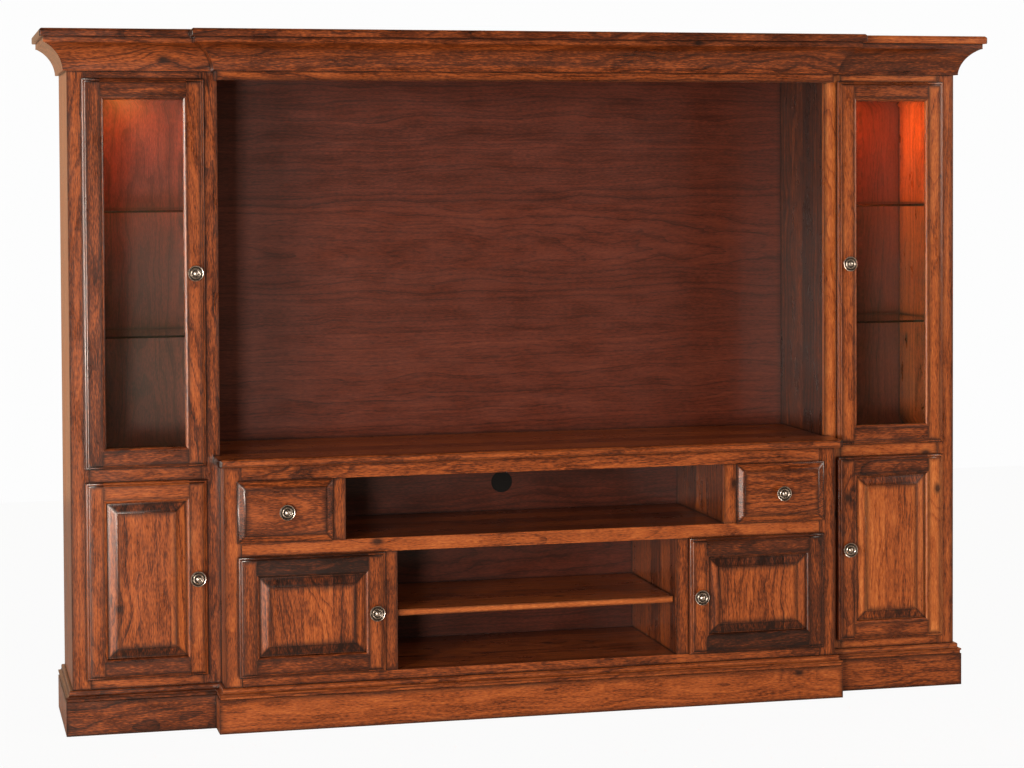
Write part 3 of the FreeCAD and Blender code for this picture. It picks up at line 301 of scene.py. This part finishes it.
    # Fibres and flecks are drawn 2 mm wide, because real pores of 0.1 mm are too fine to show. The
    # flecks are 14 mm long, the clouds of the mottle 60 mm wide, and the veins 20 mm.
    thread = add(tree, "ShaderNodeVectorMath", {0: spot, 1: (9.0, 430.0, 430.0)},
                 operation="MULTIPLY").outputs[0]
    fibre = add(tree, "ShaderNodeTexNoise", {"Vector": thread, "Scale": 1.0, "Detail": 3.0}).outputs["Fac"]
    dash = add(tree, "ShaderNodeVectorMath", {0: spot, 1: (70.0, 430.0, 430.0)},
               operation="MULTIPLY").outputs[0]
    flecks = add(tree, "ShaderNodeTexNoise", {"Vector": dash, "Scale": 1.0, "Detail": 2.0}).outputs["Fac"]
    cloud = add(tree, "ShaderNodeVectorMath", {0: spot, 1: (7.0, 17.0, 17.0)},
                operation="MULTIPLY").outputs[0]
    mottle = add(tree, "ShaderNodeTexNoise",
                 {"Vector": cloud, "Scale": 1.0, "Detail": 5.0, "Roughness": 0.6}).outputs["Fac"]
    vein = add(tree, "ShaderNodeVectorMath", {0: spot, 1: (2.6, 52.0, 52.0)},
               operation="MULTIPLY").outputs[0]
    veins = add(tree, "ShaderNodeTexNoise", {"Vector": vein, "Scale": 1.0, "Detail": 3.0}).outputs["Fac"]

    # Each pattern has its share in one shade, which is looked up on the stain's own scale. Slopes across
    # the grain soak up more stain, and some boards are drawn darker, by a deeper stain and, in shaded
    # places, by painted shade.
    shade = 0.445 - 0.77 * figure
    for pattern, share in ((late, -0.26), (years, -0.34), (fibre, 0.52), (flecks, 0.84),
                           (mottle, 0.52), (tone, 0.24 * figure)):
        shade = add(tree, "ShaderNodeMath", {0: pattern, 1: share * figure, 2: shade},
                    operation="MULTIPLY_ADD").outputs[0]
    slope = add(tree, "ShaderNodeMapRange", {0: end, 1: 0.03, 2: 0.13, 3: 0.0, 4: 0.33}).outputs[0]
    for darker in (slope, stain_and_shade_depth):
        shade = add(tree, "ShaderNodeMath", {0: shade, 1: darker}, operation="SUBTRACT").outputs[0]
    scale = add(tree, "ShaderNodeValToRGB", {0: shade})
    steps = scale.color_ramp.elements
    for count, (spot_at, colour) in enumerate(shades):
        step = steps[count] if count < 2 else steps.new(spot_at)
        step.position, step.color = spot_at, linear(colour)
    stain = scale.outputs[0]

    # Mineral streaks, the hearts of knots and cut ends take the stain darkest.
    streak = add(tree, "ShaderNodeMapRange",
                 {0: veins, 1: 0.57, 2: 0.82, 3: 0.0, 4: 0.28 * figure}).outputs[0]
    heart = add(tree, "ShaderNodeMapRange",
                {0: cell.outputs["Distance"], 1: 0.02, 2: 0.07, 3: 0.9, 4: 0.0}).outputs[0]
    knot = add(tree, "ShaderNodeMath", {0: heart, 1: has}, operation="MULTIPLY").outputs[0]
    butt = add(tree, "ShaderNodeMapRange", {0: end, 1: 0.3, 2: 0.95, 3: 0.0, 4: 0.8}).outputs[0]
    marks = add(tree, "ShaderNodeMath", {0: streak, 1: knot}, operation="MAXIMUM").outputs[0]
    darks = add(tree, "ShaderNodeMath", {0: marks, 1: butt}, operation="MAXIMUM").outputs[0]

    # The glaze is wiped off the middle of each flat and stays in corners, in grooves and towards the edges.
    # Its darkening within 10 mm of corners, grooves and gaps between parts is also painted shade.
    corner = add(tree, "ShaderNodeAmbientOcclusion", {"Distance": 0.010}, samples=8).outputs["AO"]
    recess_glaze_and_shade = add(tree, "ShaderNodeMapRange",
                 {0: corner, 1: 0.50, 2: 0.94, 3: 0.97 * glaze_and_shade_strength, 4: 0.0}).outputs[0]
    rim = add(tree, "ShaderNodeAttribute", attribute_name="rim").outputs["Fac"]
    fade = add(tree, "ShaderNodeMath", {0: rim, 1: 1.4}, operation="POWER").outputs[0]
    uneven = add(tree, "ShaderNodeMapRange",
                 {0: mottle, 1: 0.35, 2: 0.65, 3: 0.60 * glaze_and_shade_strength, 4: 0.95 * glaze_and_shade_strength}).outputs[0]
    burnt = add(tree, "ShaderNodeMath", {0: fade, 1: uneven}, operation="MULTIPLY").outputs[0]
    glaze_and_painted_shade = add(tree, "ShaderNodeMath", {0: recess_glaze_and_shade, 1: burnt}, operation="MAXIMUM").outputs[0]
    black = add(tree, "ShaderNodeMath", {0: glaze_and_painted_shade, 1: darks}, operation="MAXIMUM",
                use_clamp=True).outputs[0]
    colour = add(tree, "ShaderNodeMix", {"Factor": black, 6: stain, 7: linear("#1A0B07")},
                 data_type="RGBA").outputs[2]

    # Satin lacquer sinks a little into the pores and is rubbed unevenly.
    grip = add(tree, "ShaderNodeMapRange",
               {0: mottle, 1: 0.3, 2: 0.7, 3: roughness - 0.05, 4: roughness + 0.07}).outputs[0]
    pores = add(tree, "ShaderNodeMath", {0: fibre, 1: 0.5, 2: flecks}, operation="MULTIPLY_ADD").outputs[0]
    relief = add(tree, "ShaderNodeBump", {"Height": pores, "Strength": 0.3, "Distance": 0.0006}).outputs[0]
    lacquer = add(tree, "ShaderNodeBsdfPrincipled",
                  {"Base Color": colour, "Roughness": grip, "Normal": relief, "IOR": 1.48,
                   "Specular IOR Level": 0.4, "Coat Weight": 0.25, "Coat Roughness": 0.16, "Coat IOR": 1.5})
    add(tree, "ShaderNodeOutputMaterial", {"Surface": lacquer.outputs[0]})
    return wood


# Rustic cherry with a dark red-brown stain, sanded, glazed and sprayed with satin lacquer: warm
# red-brown with dark arches, streaks and knots, and a soft sheen.
cherry = stained_wood("stained_cherry", [(0.0, "#1E0B05"), (1.0, "#CE8044"), (0.28, "#5A280F"),
                                         (0.50, "#94491E"), (0.74, "#B3622D")], 0.30)

# The inner sides are drawn darkest, as painted shade of the alcove they face.
for side in ("left", "right"):
    wooden(f"{side}_outer_side", "cabinet", cherry)
    wooden(f"{side}_inner_side", "cabinet", cherry, deeper_stain_and_shade=0.42)


# Pier shelves, backs and face frames
# Fixed boards dadoed into the sides tie each pier together. A thin veneered back closes it, and a
# frame of solid stiles and rails is glued over the front edges.

# Cherry-faced plywood with the same stain, less rubbed and darker than the solid boards. Part of that
# darkness is painted shade of the recesses where the backs stand.
panel_cherry = stained_wood("veneered_cherry_panel", [(0.0, "#1A0905"), (1.0, "#8A4A27"), (0.28, "#3A160B"),
                                                      (0.50, "#5A2413"), (0.74, "#6E331C")], 0.40,
                            knots=0.0, glaze_and_shade_strength=0.7, figure=0.6)

for side in ("left", "right"):
    wooden(f"{side}_fixed_shelves", "cabinet", cherry)
    wooden(f"{side}_pier_back", "cabinet", panel_cherry, along=2, strip=0.2, deeper_stain_and_shade=0.06)
    wooden(f"{side}_face_frame", "cabinet", cherry, deeper_stain_and_shade=0.20 if side == "left" else 0.08)


# Console carcase
# Sides, a floor, a divider under the upper slot, and upright partitions, all dadoed together, with a
# veneered back and a notched face frame in front.

wooden("console_sides", "cabinet", cherry, along=2)
# The floor, the divider and the partitions are drawn darker as painted shade inside the slot and the bay.
wooden("console_floor", "cabinet", cherry, deeper_stain_and_shade=0.15)
wooden("console_divider", "cabinet", cherry, deeper_stain_and_shade=0.15)
wooden("console_partitions", "cabinet", cherry, along=2, deeper_stain_and_shade=0.24)
wooden("console_back", "cabinet", panel_cherry, strip=0.2, deeper_stain_and_shade=0.06)
wooden("console_face_frame", "cabinet", cherry, deeper_stain_and_shade=0.10)


# Wire hole seal
# A disc of black rubber is pressed into the wire hole in the back. It is slit into six petals that
# bend aside for plugs and keep the dust out.

# Moulded rubber: a dull black with dust specks of a millimetre.
rubber, rubber_tree = new_finish("black_rubber_seal")
rubber_place = add(rubber_tree, "ShaderNodeTexCoord").outputs["Object"]
rubber_dust = add(rubber_tree, "ShaderNodeTexNoise",
                  {"Vector": rubber_place, "Scale": 900.0, "Detail": 3.0}).outputs["Fac"]
rubber_tone = add(rubber_tree, "ShaderNodeMix",
                  {"Factor": rubber_dust, 6: linear("#050404"), 7: linear("#100E0D")},
                  data_type="RGBA").outputs[2]
rubber_skin = add(rubber_tree, "ShaderNodeBsdfPrincipled",
                  {"Base Color": rubber_tone, "Roughness": 0.75, "Specular IOR Level": 0.25})
add(rubber_tree, "ShaderNodeOutputMaterial", {"Surface": rubber_skin.outputs[0]})

# The hole is at the middle height of the drawers, and the seal sits inside the back's thickness.
SEAL_INSET = 0.00185
SEAL_THICK = 0.002
HOLE_RADIUS = 0.0334
PETALS = 6
PETAL_STEPS = 8
SLIT = 0.0001
drawer_low, drawer_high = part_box("left_drawer_front")
HOLE = Vector((0.0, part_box("console_back")[0].y + SEAL_INSET, (drawer_low.z + drawer_high.z) / 2))
seal_work = bmesh.new()
for petal in range(PETALS):
    tip = seal_work.verts.new(HOLE + Vector((SLIT, 0, 0)))
    rim = seal_work.verts.new(HOLE + Vector((HOLE_RADIUS, 0, 0)))
    fold = seal_work.edges.new((tip, rim))
    bmesh.ops.spin(seal_work, geom=[tip, rim, fold], cent=HOLE, axis=(0, 1, 0),
                   angle=2 * math.pi / PETALS - 2 * SLIT / HOLE_RADIUS, steps=PETAL_STEPS)
    leaf = list({v for f in seal_work.faces if not f.tag for v in f.verts})
    bmesh.ops.rotate(seal_work, verts=leaf, cent=HOLE,
                     matrix=Matrix.Rotation(2 * math.pi * petal / PETALS, 3, "Y"))
    for face in seal_work.faces:
        face.tag = True
bmesh.ops.recalc_face_normals(seal_work, faces=seal_work.faces)
bmesh.ops.solidify(seal_work, geom=seal_work.faces, thickness=SEAL_THICK)
bmesh.ops.recalc_face_normals(seal_work, faces=seal_work.faces)
place_piece("slit_rubber_seal", seal_work, [rubber], [], "cabinet")


# Deck
# The console's top board, glued up from long strips, with ears in front of the piers and a rounded
# front edge.

wooden("console_deck", "cabinet", cherry, deeper_stain_and_shade=0.02, ease=0.0015, steps=3)


# Plinths
# A moulded base board runs round each cabinet's foot, mitred at the corners, with a cove and a step
# along its top edge.

for part in ("left_plinth", "right_plinth", "console_plinth"):
    wooden(part, "cabinet", cherry, deeper_stain_and_shade=0.13)


# Alcove
# The open bay over the deck: a veneered back with its grain running across, a soffit board above,
# and in front a header board with short returns to the piers.

# The back is drawn darker as painted shade in the alcove.
wooden("alcove_back", "cabinet", panel_cherry, strip=0.2, deeper_stain_and_shade=0.1)
wooden("bridge_soffit", "cabinet", cherry, deeper_stain_and_shade=0.2)
wooden("bridge_header", "cabinet", cherry, deeper_stain_and_shade=0.08)


# Crown
# Cove mouldings lean out under flat cap boards, mitred round each pier and brought forward over the
# middle bay.

# The crowns are drawn darker as painted shade on the coves that lean out under the caps.
for part in ("left_crown", "right_crown", "bridge_crown"):
    wooden(part, "cabinet", cherry, deeper_stain_and_shade=0.31, rims=0.0)
for part in ("left_cap", "right_cap", "bridge_cap"):
    wooden(part, "cabinet", cherry, deeper_stain_and_shade=0.16, ease=0.003, steps=3, rims=0.0)


# Doors
# Six doors, each of four cope-and-stick members with a moulded outer edge. Four hold a raised panel
# that floats in its grooves. The two tall ones hold bevelled glass, kept in by strips behind it.

for side, deeper in (("left", 0.17), ("right", 0.15)):
    for kind, deeper_stain_and_shade, level_steep in (("glass", 0.08, 0.16), ("cupboard", 0.01, 0.12),
                                     ("console", deeper, 0.18)):
        wooden(f"{side}_{kind}_door_frame", f"{side}_{kind}_door", cherry, strip=0.3, deeper_stain_and_shade=deeper_stain_and_shade,
               level_steep=level_steep)
    for kind, deeper_stain_and_shade in (("cupboard", 0.0), ("console", 0.4 * deeper)):
        wooden(f"{side}_{kind}_door_panel", f"{side}_{kind}_door", cherry, along=2, strip=0.085,
               deeper_stain_and_shade=deeper_stain_and_shade)


# Drawers
# A solid front with a raised field, screwed to a four-sided box of pale maple that runs on steel
# slides.

# Clear-lacquered hard maple: pale straw with a faint, straight figure.
maple = stained_wood("lacquered_maple", [(0.0, "#B98F5E"), (1.0, "#E6CC9F"), (0.30, "#C9A473"),
                                         (0.52, "#D6B586"), (0.74, "#DFC294")], 0.38,
                     knots=0.0, glaze_and_shade_strength=0.35, figure=0.6)

for side in ("left", "right"):
    wooden(f"{side}_drawer_front", f"{side}_drawer", cherry, strip=0.3, deeper_stain_and_shade=0.27, soak=0.15)
    wooden(f"{side}_drawer_box", f"{side}_drawer", maple, strip=0.3)


# Loose shelves
# Adjustable wooden shelves lie on pegs in the cupboards and in the console's open bay.

wooden("console_shelf", "cabinet", cherry, ease=0.001)
wooden("cupboard_shelves", "cabinet", cherry, ease=0.001)


# Glass
# Float glass with polished edges: bevelled panes in the tall doors and plain shelves behind them.
# Their edges look dark green because light travels far through them.

def float_glass(name, tint):
    """Clear float glass that lets lamps shine through to what stands behind it."""
    glass, tree = new_finish(name)
    clear = add(tree, "ShaderNodeBsdfPrincipled",
                {"Base Color": linear(tint), "Roughness": 0.0, "IOR": 1.52, "Transmission Weight": 1.0})
    through = add(tree, "ShaderNodeBsdfTransparent", {"Color": linear(tint)})
    ray = add(tree, "ShaderNodeLightPath")
    both = add(tree, "ShaderNodeMixShader", {0: ray.outputs["Is Shadow Ray"], 1: clear.outputs[0],
                                             2: through.outputs[0]})
    add(tree, "ShaderNodeOutputMaterial", {"Surface": both.outputs[0]})
    return glass


pane_glass = float_glass("bevelled_float_glass", "#F2F7F4")
shelf_glass = float_glass("shelf_float_glass", "#DCEBE4")
POLISHED_EDGE = 0.0008

for side in ("left", "right"):
    place_piece(f"{side}_bevelled_pane", cut_boards(f"{side}_glass_door_pane", 0), [pane_glass],
                [f"{side}_glass_door_pane"], f"{side}_glass_door")
place_piece("polished_glass_shelves", cut_boards("glass_shelves", POLISHED_EDGE), [shelf_glass],
            ["glass_shelves"], "cabinet")


# Knobs, hinges and slides
# Round cast knobs with two rings round a low dome, in antique nickel. Concealed hinges hide behind
# the doors: a pressed cup in the door and an arm on the frame. Slides are folded steel bars.

def worn_metal(name, bright, dark, roughness, reach):
    """Plated metal, dark where a polishing wheel doesn't reach and finely scratched."""
    metal, tree = new_finish(name)
    place = add(tree, "ShaderNodeTexCoord").outputs["Object"]
    hollow = add(tree, "ShaderNodeAmbientOcclusion", {"Distance": reach}, samples=6,
                 only_local=True).outputs["AO"]
    kept = add(tree, "ShaderNodeMapRange", {0: hollow, 1: 0.38, 2: 0.80, 3: 1.0, 4: 0.0}).outputs[0]
    cloud = add(tree, "ShaderNodeTexNoise", {"Vector": place, "Scale": 260.0, "Detail": 4.0}).outputs["Fac"]
    patchy = add(tree, "ShaderNodeMapRange", {0: cloud, 1: 0.4, 2: 0.75, 3: 0.0, 4: 0.35}).outputs[0]
    patina = add(tree, "ShaderNodeMath", {0: kept, 1: patchy}, operation="MAXIMUM").outputs[0]
    colour = add(tree, "ShaderNodeMix", {"Factor": patina, 6: linear(bright), 7: linear(dark)},
                 data_type="RGBA").outputs[2]
    grip = add(tree, "ShaderNodeMapRange",
               {0: cloud, 1: 0.3, 2: 0.7, 3: roughness - 0.06, 4: roughness + 0.1}).outputs[0]
    skin = add(tree, "ShaderNodeBsdfPrincipled", {"Base Color": colour, "Metallic": 1.0, "Roughness": grip})
    add(tree, "ShaderNodeOutputMaterial", {"Surface": skin.outputs[0]})
    return metal


# Antique nickel over brass: grey-beige on the high rings and nearly black in the grooves.
nickel = worn_metal("antique_nickel", "#DED3C8", "#0C0908", 0.28, 0.006)
# Bright nickel and zinc on pressed steel: plain cool grey with a low gloss.
steel = worn_metal("plated_steel", "#B4B6B8", "#4A4C4E", 0.34, 0.004)

# The knob's outline as it is turned, by its distance from the axis and its height off the door: a
# foot, a neck, the outer ring, a groove, the inner ring, a groove and the dome.
KNOB_RINGS = ((0.0, 0.0), (0.0095, 0.0), (0.0095, 0.0015), (0.0065, 0.0035), (0.0062, 0.0095),
              (0.0085, 0.0135), (0.0165, 0.0165), (0.0212, 0.0185), (0.0229, 0.0208),
              (0.0227, 0.0224), (0.0217, 0.0234), (0.0206, 0.0231), (0.0198, 0.0216),
              (0.0190, 0.0198), (0.0178, 0.0192), (0.0166, 0.0200), (0.0160, 0.0224),
              (0.0150, 0.0243), (0.0136, 0.0250), (0.0122, 0.0243), (0.0113, 0.0224),
              (0.0104, 0.0208), (0.0094, 0.0206), (0.0084, 0.0220), (0.0076, 0.0244),
              (0.0062, 0.0262), (0.0035, 0.0272), (0.0, 0.0274))
KNOB_STEPS = 40
PRESSED_EDGE = 0.0004
FOLDED_EDGE = 0.0003


def knob_and_cups(node, body):
    """A turned knob where the node's knob is, with the node's hinge cups or slide bars."""
    work = cut_boards(node, 0)
    boards = closed_boards(work)
    boards.sort(key=lambda board: min(v.co.y for f in board for v in f.verts))
    low, high = board_box(boards[0])
    bmesh.ops.delete(work, geom=boards[0], context="FACES")
    crisp = [e for e in work.edges if e.is_manifold and e.calc_face_angle(0) > CREASE]
    bmesh.ops.bevel(work, geom=crisp, offset=PRESSED_EDGE, offset_type="OFFSET", affect="EDGES",
                    segments=1, profile=0.5, material=-1, clamp_overlap=True)
    for face in work.faces:
        face.material_index = 1
    foot = Vector(((low.x + high.x) / 2, high.y, (low.z + high.z) / 2))
    line = [work.verts.new(foot + Vector((out, -up, 0.0))) for out, up in KNOB_RINGS]
    edges = [work.edges.new(pair) for pair in zip(line, line[1:])]
    bmesh.ops.spin(work, geom=line + edges, cent=foot, axis=(0, 1, 0), angle=2 * math.pi,
                   steps=KNOB_STEPS, use_merge=True)
    skin = [f for f in work.faces if f.material_index == 0]
    bmesh.ops.remove_doubles(work, verts=list({v for f in skin for v in f.verts}), dist=MERGE)
    bmesh.ops.recalc_face_normals(work, faces=[f for f in work.faces if f.material_index == 0])
    return place_piece(node + "_plated", work, [nickel, steel], [node], body)


for side in ("left", "right"):
    for leaf in ("glass_door", "cupboard_door", "console_door", "drawer"):
        knob_and_cups(f"{side}_{leaf}_hardware", f"{side}_{leaf}")
for node in ("hinge_arms", "drawer_slides"):
    place_piece(f"{node}_plated", cut_boards(node, FOLDED_EDGE), [steel], [node], "cabinet")


# Shelf pegs
# Plain steel pegs of 5 mm stand in the drilled rows and carry the loose shelves.

PEG_RADIUS = 0.00245
PEG_SIDES = 14


def round_pegs(node):
    """A round peg in place of each of the node's flat-sided ones."""
    rough = cut_boards(node, 0)
    pegs = bmesh.new()
    for board in closed_boards(rough):
        low, high = board_box(board)
        made = bmesh.ops.create_cone(pegs, cap_ends=True, segments=PEG_SIDES, radius1=PEG_RADIUS,
                                     radius2=PEG_RADIUS, depth=high.x - low.x)["verts"]
        bmesh.ops.rotate(pegs, verts=made, cent=(0, 0, 0), matrix=Matrix.Rotation(math.pi / 2, 3, "Y"))
        bmesh.ops.translate(pegs, verts=made, vec=(low + high) / 2)
    rough.free()
    ends = [e for e in pegs.edges if e.calc_face_angle(0) > CREASE]
    bmesh.ops.bevel(pegs, geom=ends, offset=PRESSED_EDGE, offset_type="OFFSET", affect="EDGES",
                    segments=2, profile=0.5, material=-1)
    return place_piece("round_shelf_pegs", pegs, [steel], [node], "cabinet")


round_pegs("shelf_pins")


# Puck lights
# A low round lamp screwed under the top shelf of each tall display: a dark bronze ring round a
# frosted lens that glows orange and lights the back.

# Outlines of the ring and of the lens, by their distance from the axis and depth under the shelf
PUCK_RING = ((0.0, 0.0), (0.0328, 0.0), (0.033, 0.0004), (0.033, 0.0085), (0.0318, 0.0098),
             (0.0300, 0.0106), (0.0270, 0.0088))
PUCK_LENS = ((0.0270, 0.0088), (0.0255, 0.0102), (0.0200, 0.0114), (0.0100, 0.0119), (0.0, 0.0120))
PUCK_STEPS = 48
GLOW_WIDTH = 0.05
GLOW_GAP = 0.004
GLOW_WATTS = 4.6

# Bronzed die-cast zinc: dark brown with a dull gloss.
bronze = worn_metal("bronzed_lamp_ring", "#4A3A2C", "#120D0A", 0.4, 0.004)

# Frosted glass lit from behind by a small warm lamp.
lens, lens_tree = new_finish("glowing_frosted_lens")
lens_skin = add(lens_tree, "ShaderNodeBsdfPrincipled",
                {"Base Color": linear("#F3D9B0"), "Roughness": 0.5, "Emission Color": linear("#FFB26B"),
                 "Emission Strength": 6.0})
add(lens_tree, "ShaderNodeOutputMaterial", {"Surface": lens_skin.outputs[0]})

rough_pucks = cut_boards("puck_lights", 0)
puck_work = bmesh.new()
for puck in closed_boards(rough_pucks):
    puck_low, puck_high = board_box(puck)
    puck_at = (puck_low + puck_high) / 2
    for count, outline in enumerate((PUCK_RING, PUCK_LENS)):
        line = [puck_work.verts.new((puck_at.x + out, puck_at.y, puck_high.z - down))
                for out, down in outline]
        edges = [puck_work.edges.new(pair) for pair in zip(line, line[1:])]
        before = len(puck_work.faces)
        bmesh.ops.spin(puck_work, geom=line + edges, cent=puck_at, axis=(0, 0, 1), angle=2 * math.pi,
                       steps=PUCK_STEPS, use_merge=True)
        puck_work.faces.ensure_lookup_table()
        for face in puck_work.faces[before:]:
            face.material_index = count
    glow = bpy.data.lights.new("display_glow", "AREA")
    glow.shape, glow.size = "DISK", GLOW_WIDTH
    glow.energy = GLOW_WATTS
    glow.color = linear("#FF8C42")[:3]
    lamp = put_in_scene("display_glow", glow)
    lamp.location = (puck_at.x, puck_at.y, puck_low.z - GLOW_GAP)
rough_pucks.free()
bmesh.ops.remove_doubles(puck_work, verts=puck_work.verts, dist=MERGE)
bmesh.ops.recalc_face_normals(puck_work, faces=puck_work.faces)
place_piece("round_puck_lights", puck_work, [bronze, lens], ["puck_lights"], "cabinet")


# Studio
# A pale floor, a bright room behind the unit, and large soft lamps in front of it.

def looked_at(tree):
    """1 where the camera sees a surface, also through glass, and 0 where light only bounces to it."""
    ray = add(tree, "ShaderNodeLightPath").outputs
    bounces = add(tree, "ShaderNodeMath", {0: ray["Diffuse Depth"], 1: ray["Glossy Depth"]},
                  operation="ADD").outputs[0]
    unbounced = add(tree, "ShaderNodeMath", {0: bounces, 1: 0.5}, operation="LESS_THAN").outputs[0]
    through = add(tree, "ShaderNodeMath", {0: ray["Is Transmission Ray"], 1: unbounced},
                  operation="MULTIPLY").outputs[0]
    return add(tree, "ShaderNodeMath", {0: ray["Is Camera Ray"], 1: through},
               operation="MAXIMUM").outputs[0]


# Pale paper that the eye sees almost white, with part of the unit's shadow left on it.
FLOOR_REACH = 5.0
FLOOR_WHITE = 0.95
floor_work = bmesh.new()
bmesh.ops.create_grid(floor_work, x_segments=1, y_segments=1, size=FLOOR_REACH)
floor_mesh = bpy.data.meshes.new("studio_floor")
floor_work.to_mesh(floor_mesh)
floor_work.free()
floor = put_in_scene("studio_floor", floor_mesh)
paper, paper_tree = new_finish("white_paper_floor")
matt = add(paper_tree, "ShaderNodeBsdfDiffuse", {"Color": linear("#D6D2CC")})
blank = add(paper_tree, "ShaderNodeEmission", {"Color": (1, 1, 1, 1), "Strength": 1.0})
part_blank = add(paper_tree, "ShaderNodeMath", {0: looked_at(paper_tree), 1: FLOOR_WHITE},
                 operation="MULTIPLY")
floor_mix = add(paper_tree, "ShaderNodeMixShader",
                {0: part_blank.outputs[0], 1: matt.outputs[0], 2: blank.outputs[0]})
add(paper_tree, "ShaderNodeOutputMaterial", {"Surface": floor_mix.outputs[0]})
floor_mesh.materials.append(paper)

# The eye sees a white room. In the lacquer it shows warm, bright behind the unit and dim on the
# camera's side, where only the lamps shine.
room = bpy.data.worlds.new("studio_room")
bpy.context.scene.world = room
room.use_nodes = True
room_tree = room.node_tree
room_tree.nodes.clear()
way = add(room_tree, "ShaderNodeTexCoord").outputs["Generated"]
rearward = add(room_tree, "ShaderNodeSeparateXYZ", {0: way}).outputs[1]
sheen = add(room_tree, "ShaderNodeMapRange", {0: rearward, 1: -0.1, 2: 0.5, 3: 0.08, 4: 0.75}).outputs[0]
room_ray = add(room_tree, "ShaderNodeLightPath").outputs
mirrored = add(room_tree, "ShaderNodeMath",
               {0: room_ray["Is Glossy Ray"], 1: room_ray["Is Transmission Ray"]},
               operation="MAXIMUM").outputs[0]
level = add(room_tree, "ShaderNodeMix", {0: mirrored, 2: 0.28, 3: sheen}).outputs[0]
tint = add(room_tree, "ShaderNodeMix", {"Factor": mirrored, 6: linear("#FFE8D3"), 7: linear("#FFC79C")},
           data_type="RGBA").outputs[2]
air = add(room_tree, "ShaderNodeBackground", {"Color": tint, "Strength": level})
white = add(room_tree, "ShaderNodeBackground", {"Color": linear("#FDFDFD"), "Strength": 1.0})
room_mix = add(room_tree, "ShaderNodeMixShader",
               {0: looked_at(room_tree), 1: air.outputs[0], 2: white.outputs[0]})
add(room_tree, "ShaderNodeOutputWorld", {"Surface": room_mix.outputs[0]})

# A key lamp and a low one light the fronts from the left, a weak one fills from the right, and one
# lights the back. Each has its place, its aim, its width and height in metres, and its watts.
for lamp_name, spot, aim, width, height, power in (
        ("key_softbox", (-6.2, -6.4, 2.0), (-0.3, 0.0, 1.0), 2.4, 2.2, 440.0),
        ("low_softbox", (-3.4, -7.8, 0.55), (-0.4, 0.0, 0.8), 1.0, 0.9, 340.0),
        ("fill_softbox", (6.2, -5.2, 2.4), (0.4, 0.0, 1.0), 2.4, 2.4, 170.0),
        ("back_softbox", (1.5, 5.5, 3.2), (0.0, 0.0, 1.0), 3.4, 2.4, 60.0)):
    softbox = bpy.data.lights.new(lamp_name, "AREA")
    softbox.shape, softbox.size, softbox.size_y = "RECTANGLE", width, height
    softbox.energy = power
    softbox.color = linear("#FFF3E6")[:3]
    holder = put_in_scene(lamp_name, softbox)
    holder.location = spot
    holder.rotation_euler = (Vector(aim) - Vector(spot)).to_track_quat("-Z", "Y").to_euler()

# The camera stands left of the middle, 7 m away and 1.6 m up, and looks at the unit's middle. Its
# lens is shifted down, so that upright edges stay almost upright.
YAW, PITCH, ROLL = math.radians(13.7566), math.radians(1.7092), math.radians(-0.2813)
lens_data = bpy.data.cameras.new("camera")
lens_data.lens, lens_data.sensor_width = 85.115, 36.0
lens_data.shift_y = -0.1357
lens_data.clip_start, lens_data.clip_end = 0.1, 100.0
camera = put_in_scene("camera", lens_data)
camera.location = (-1.7813, -7.1680, 1.6156)
level_turn = Euler((math.pi / 2 - PITCH, 0.0, -YAW)).to_matrix()
camera.rotation_euler = (level_turn @ Matrix.Rotation(ROLL, 3, "Z")).to_euler()
bpy.context.scene.camera = camera
bpy.context.scene.view_settings.view_transform = "Standard"
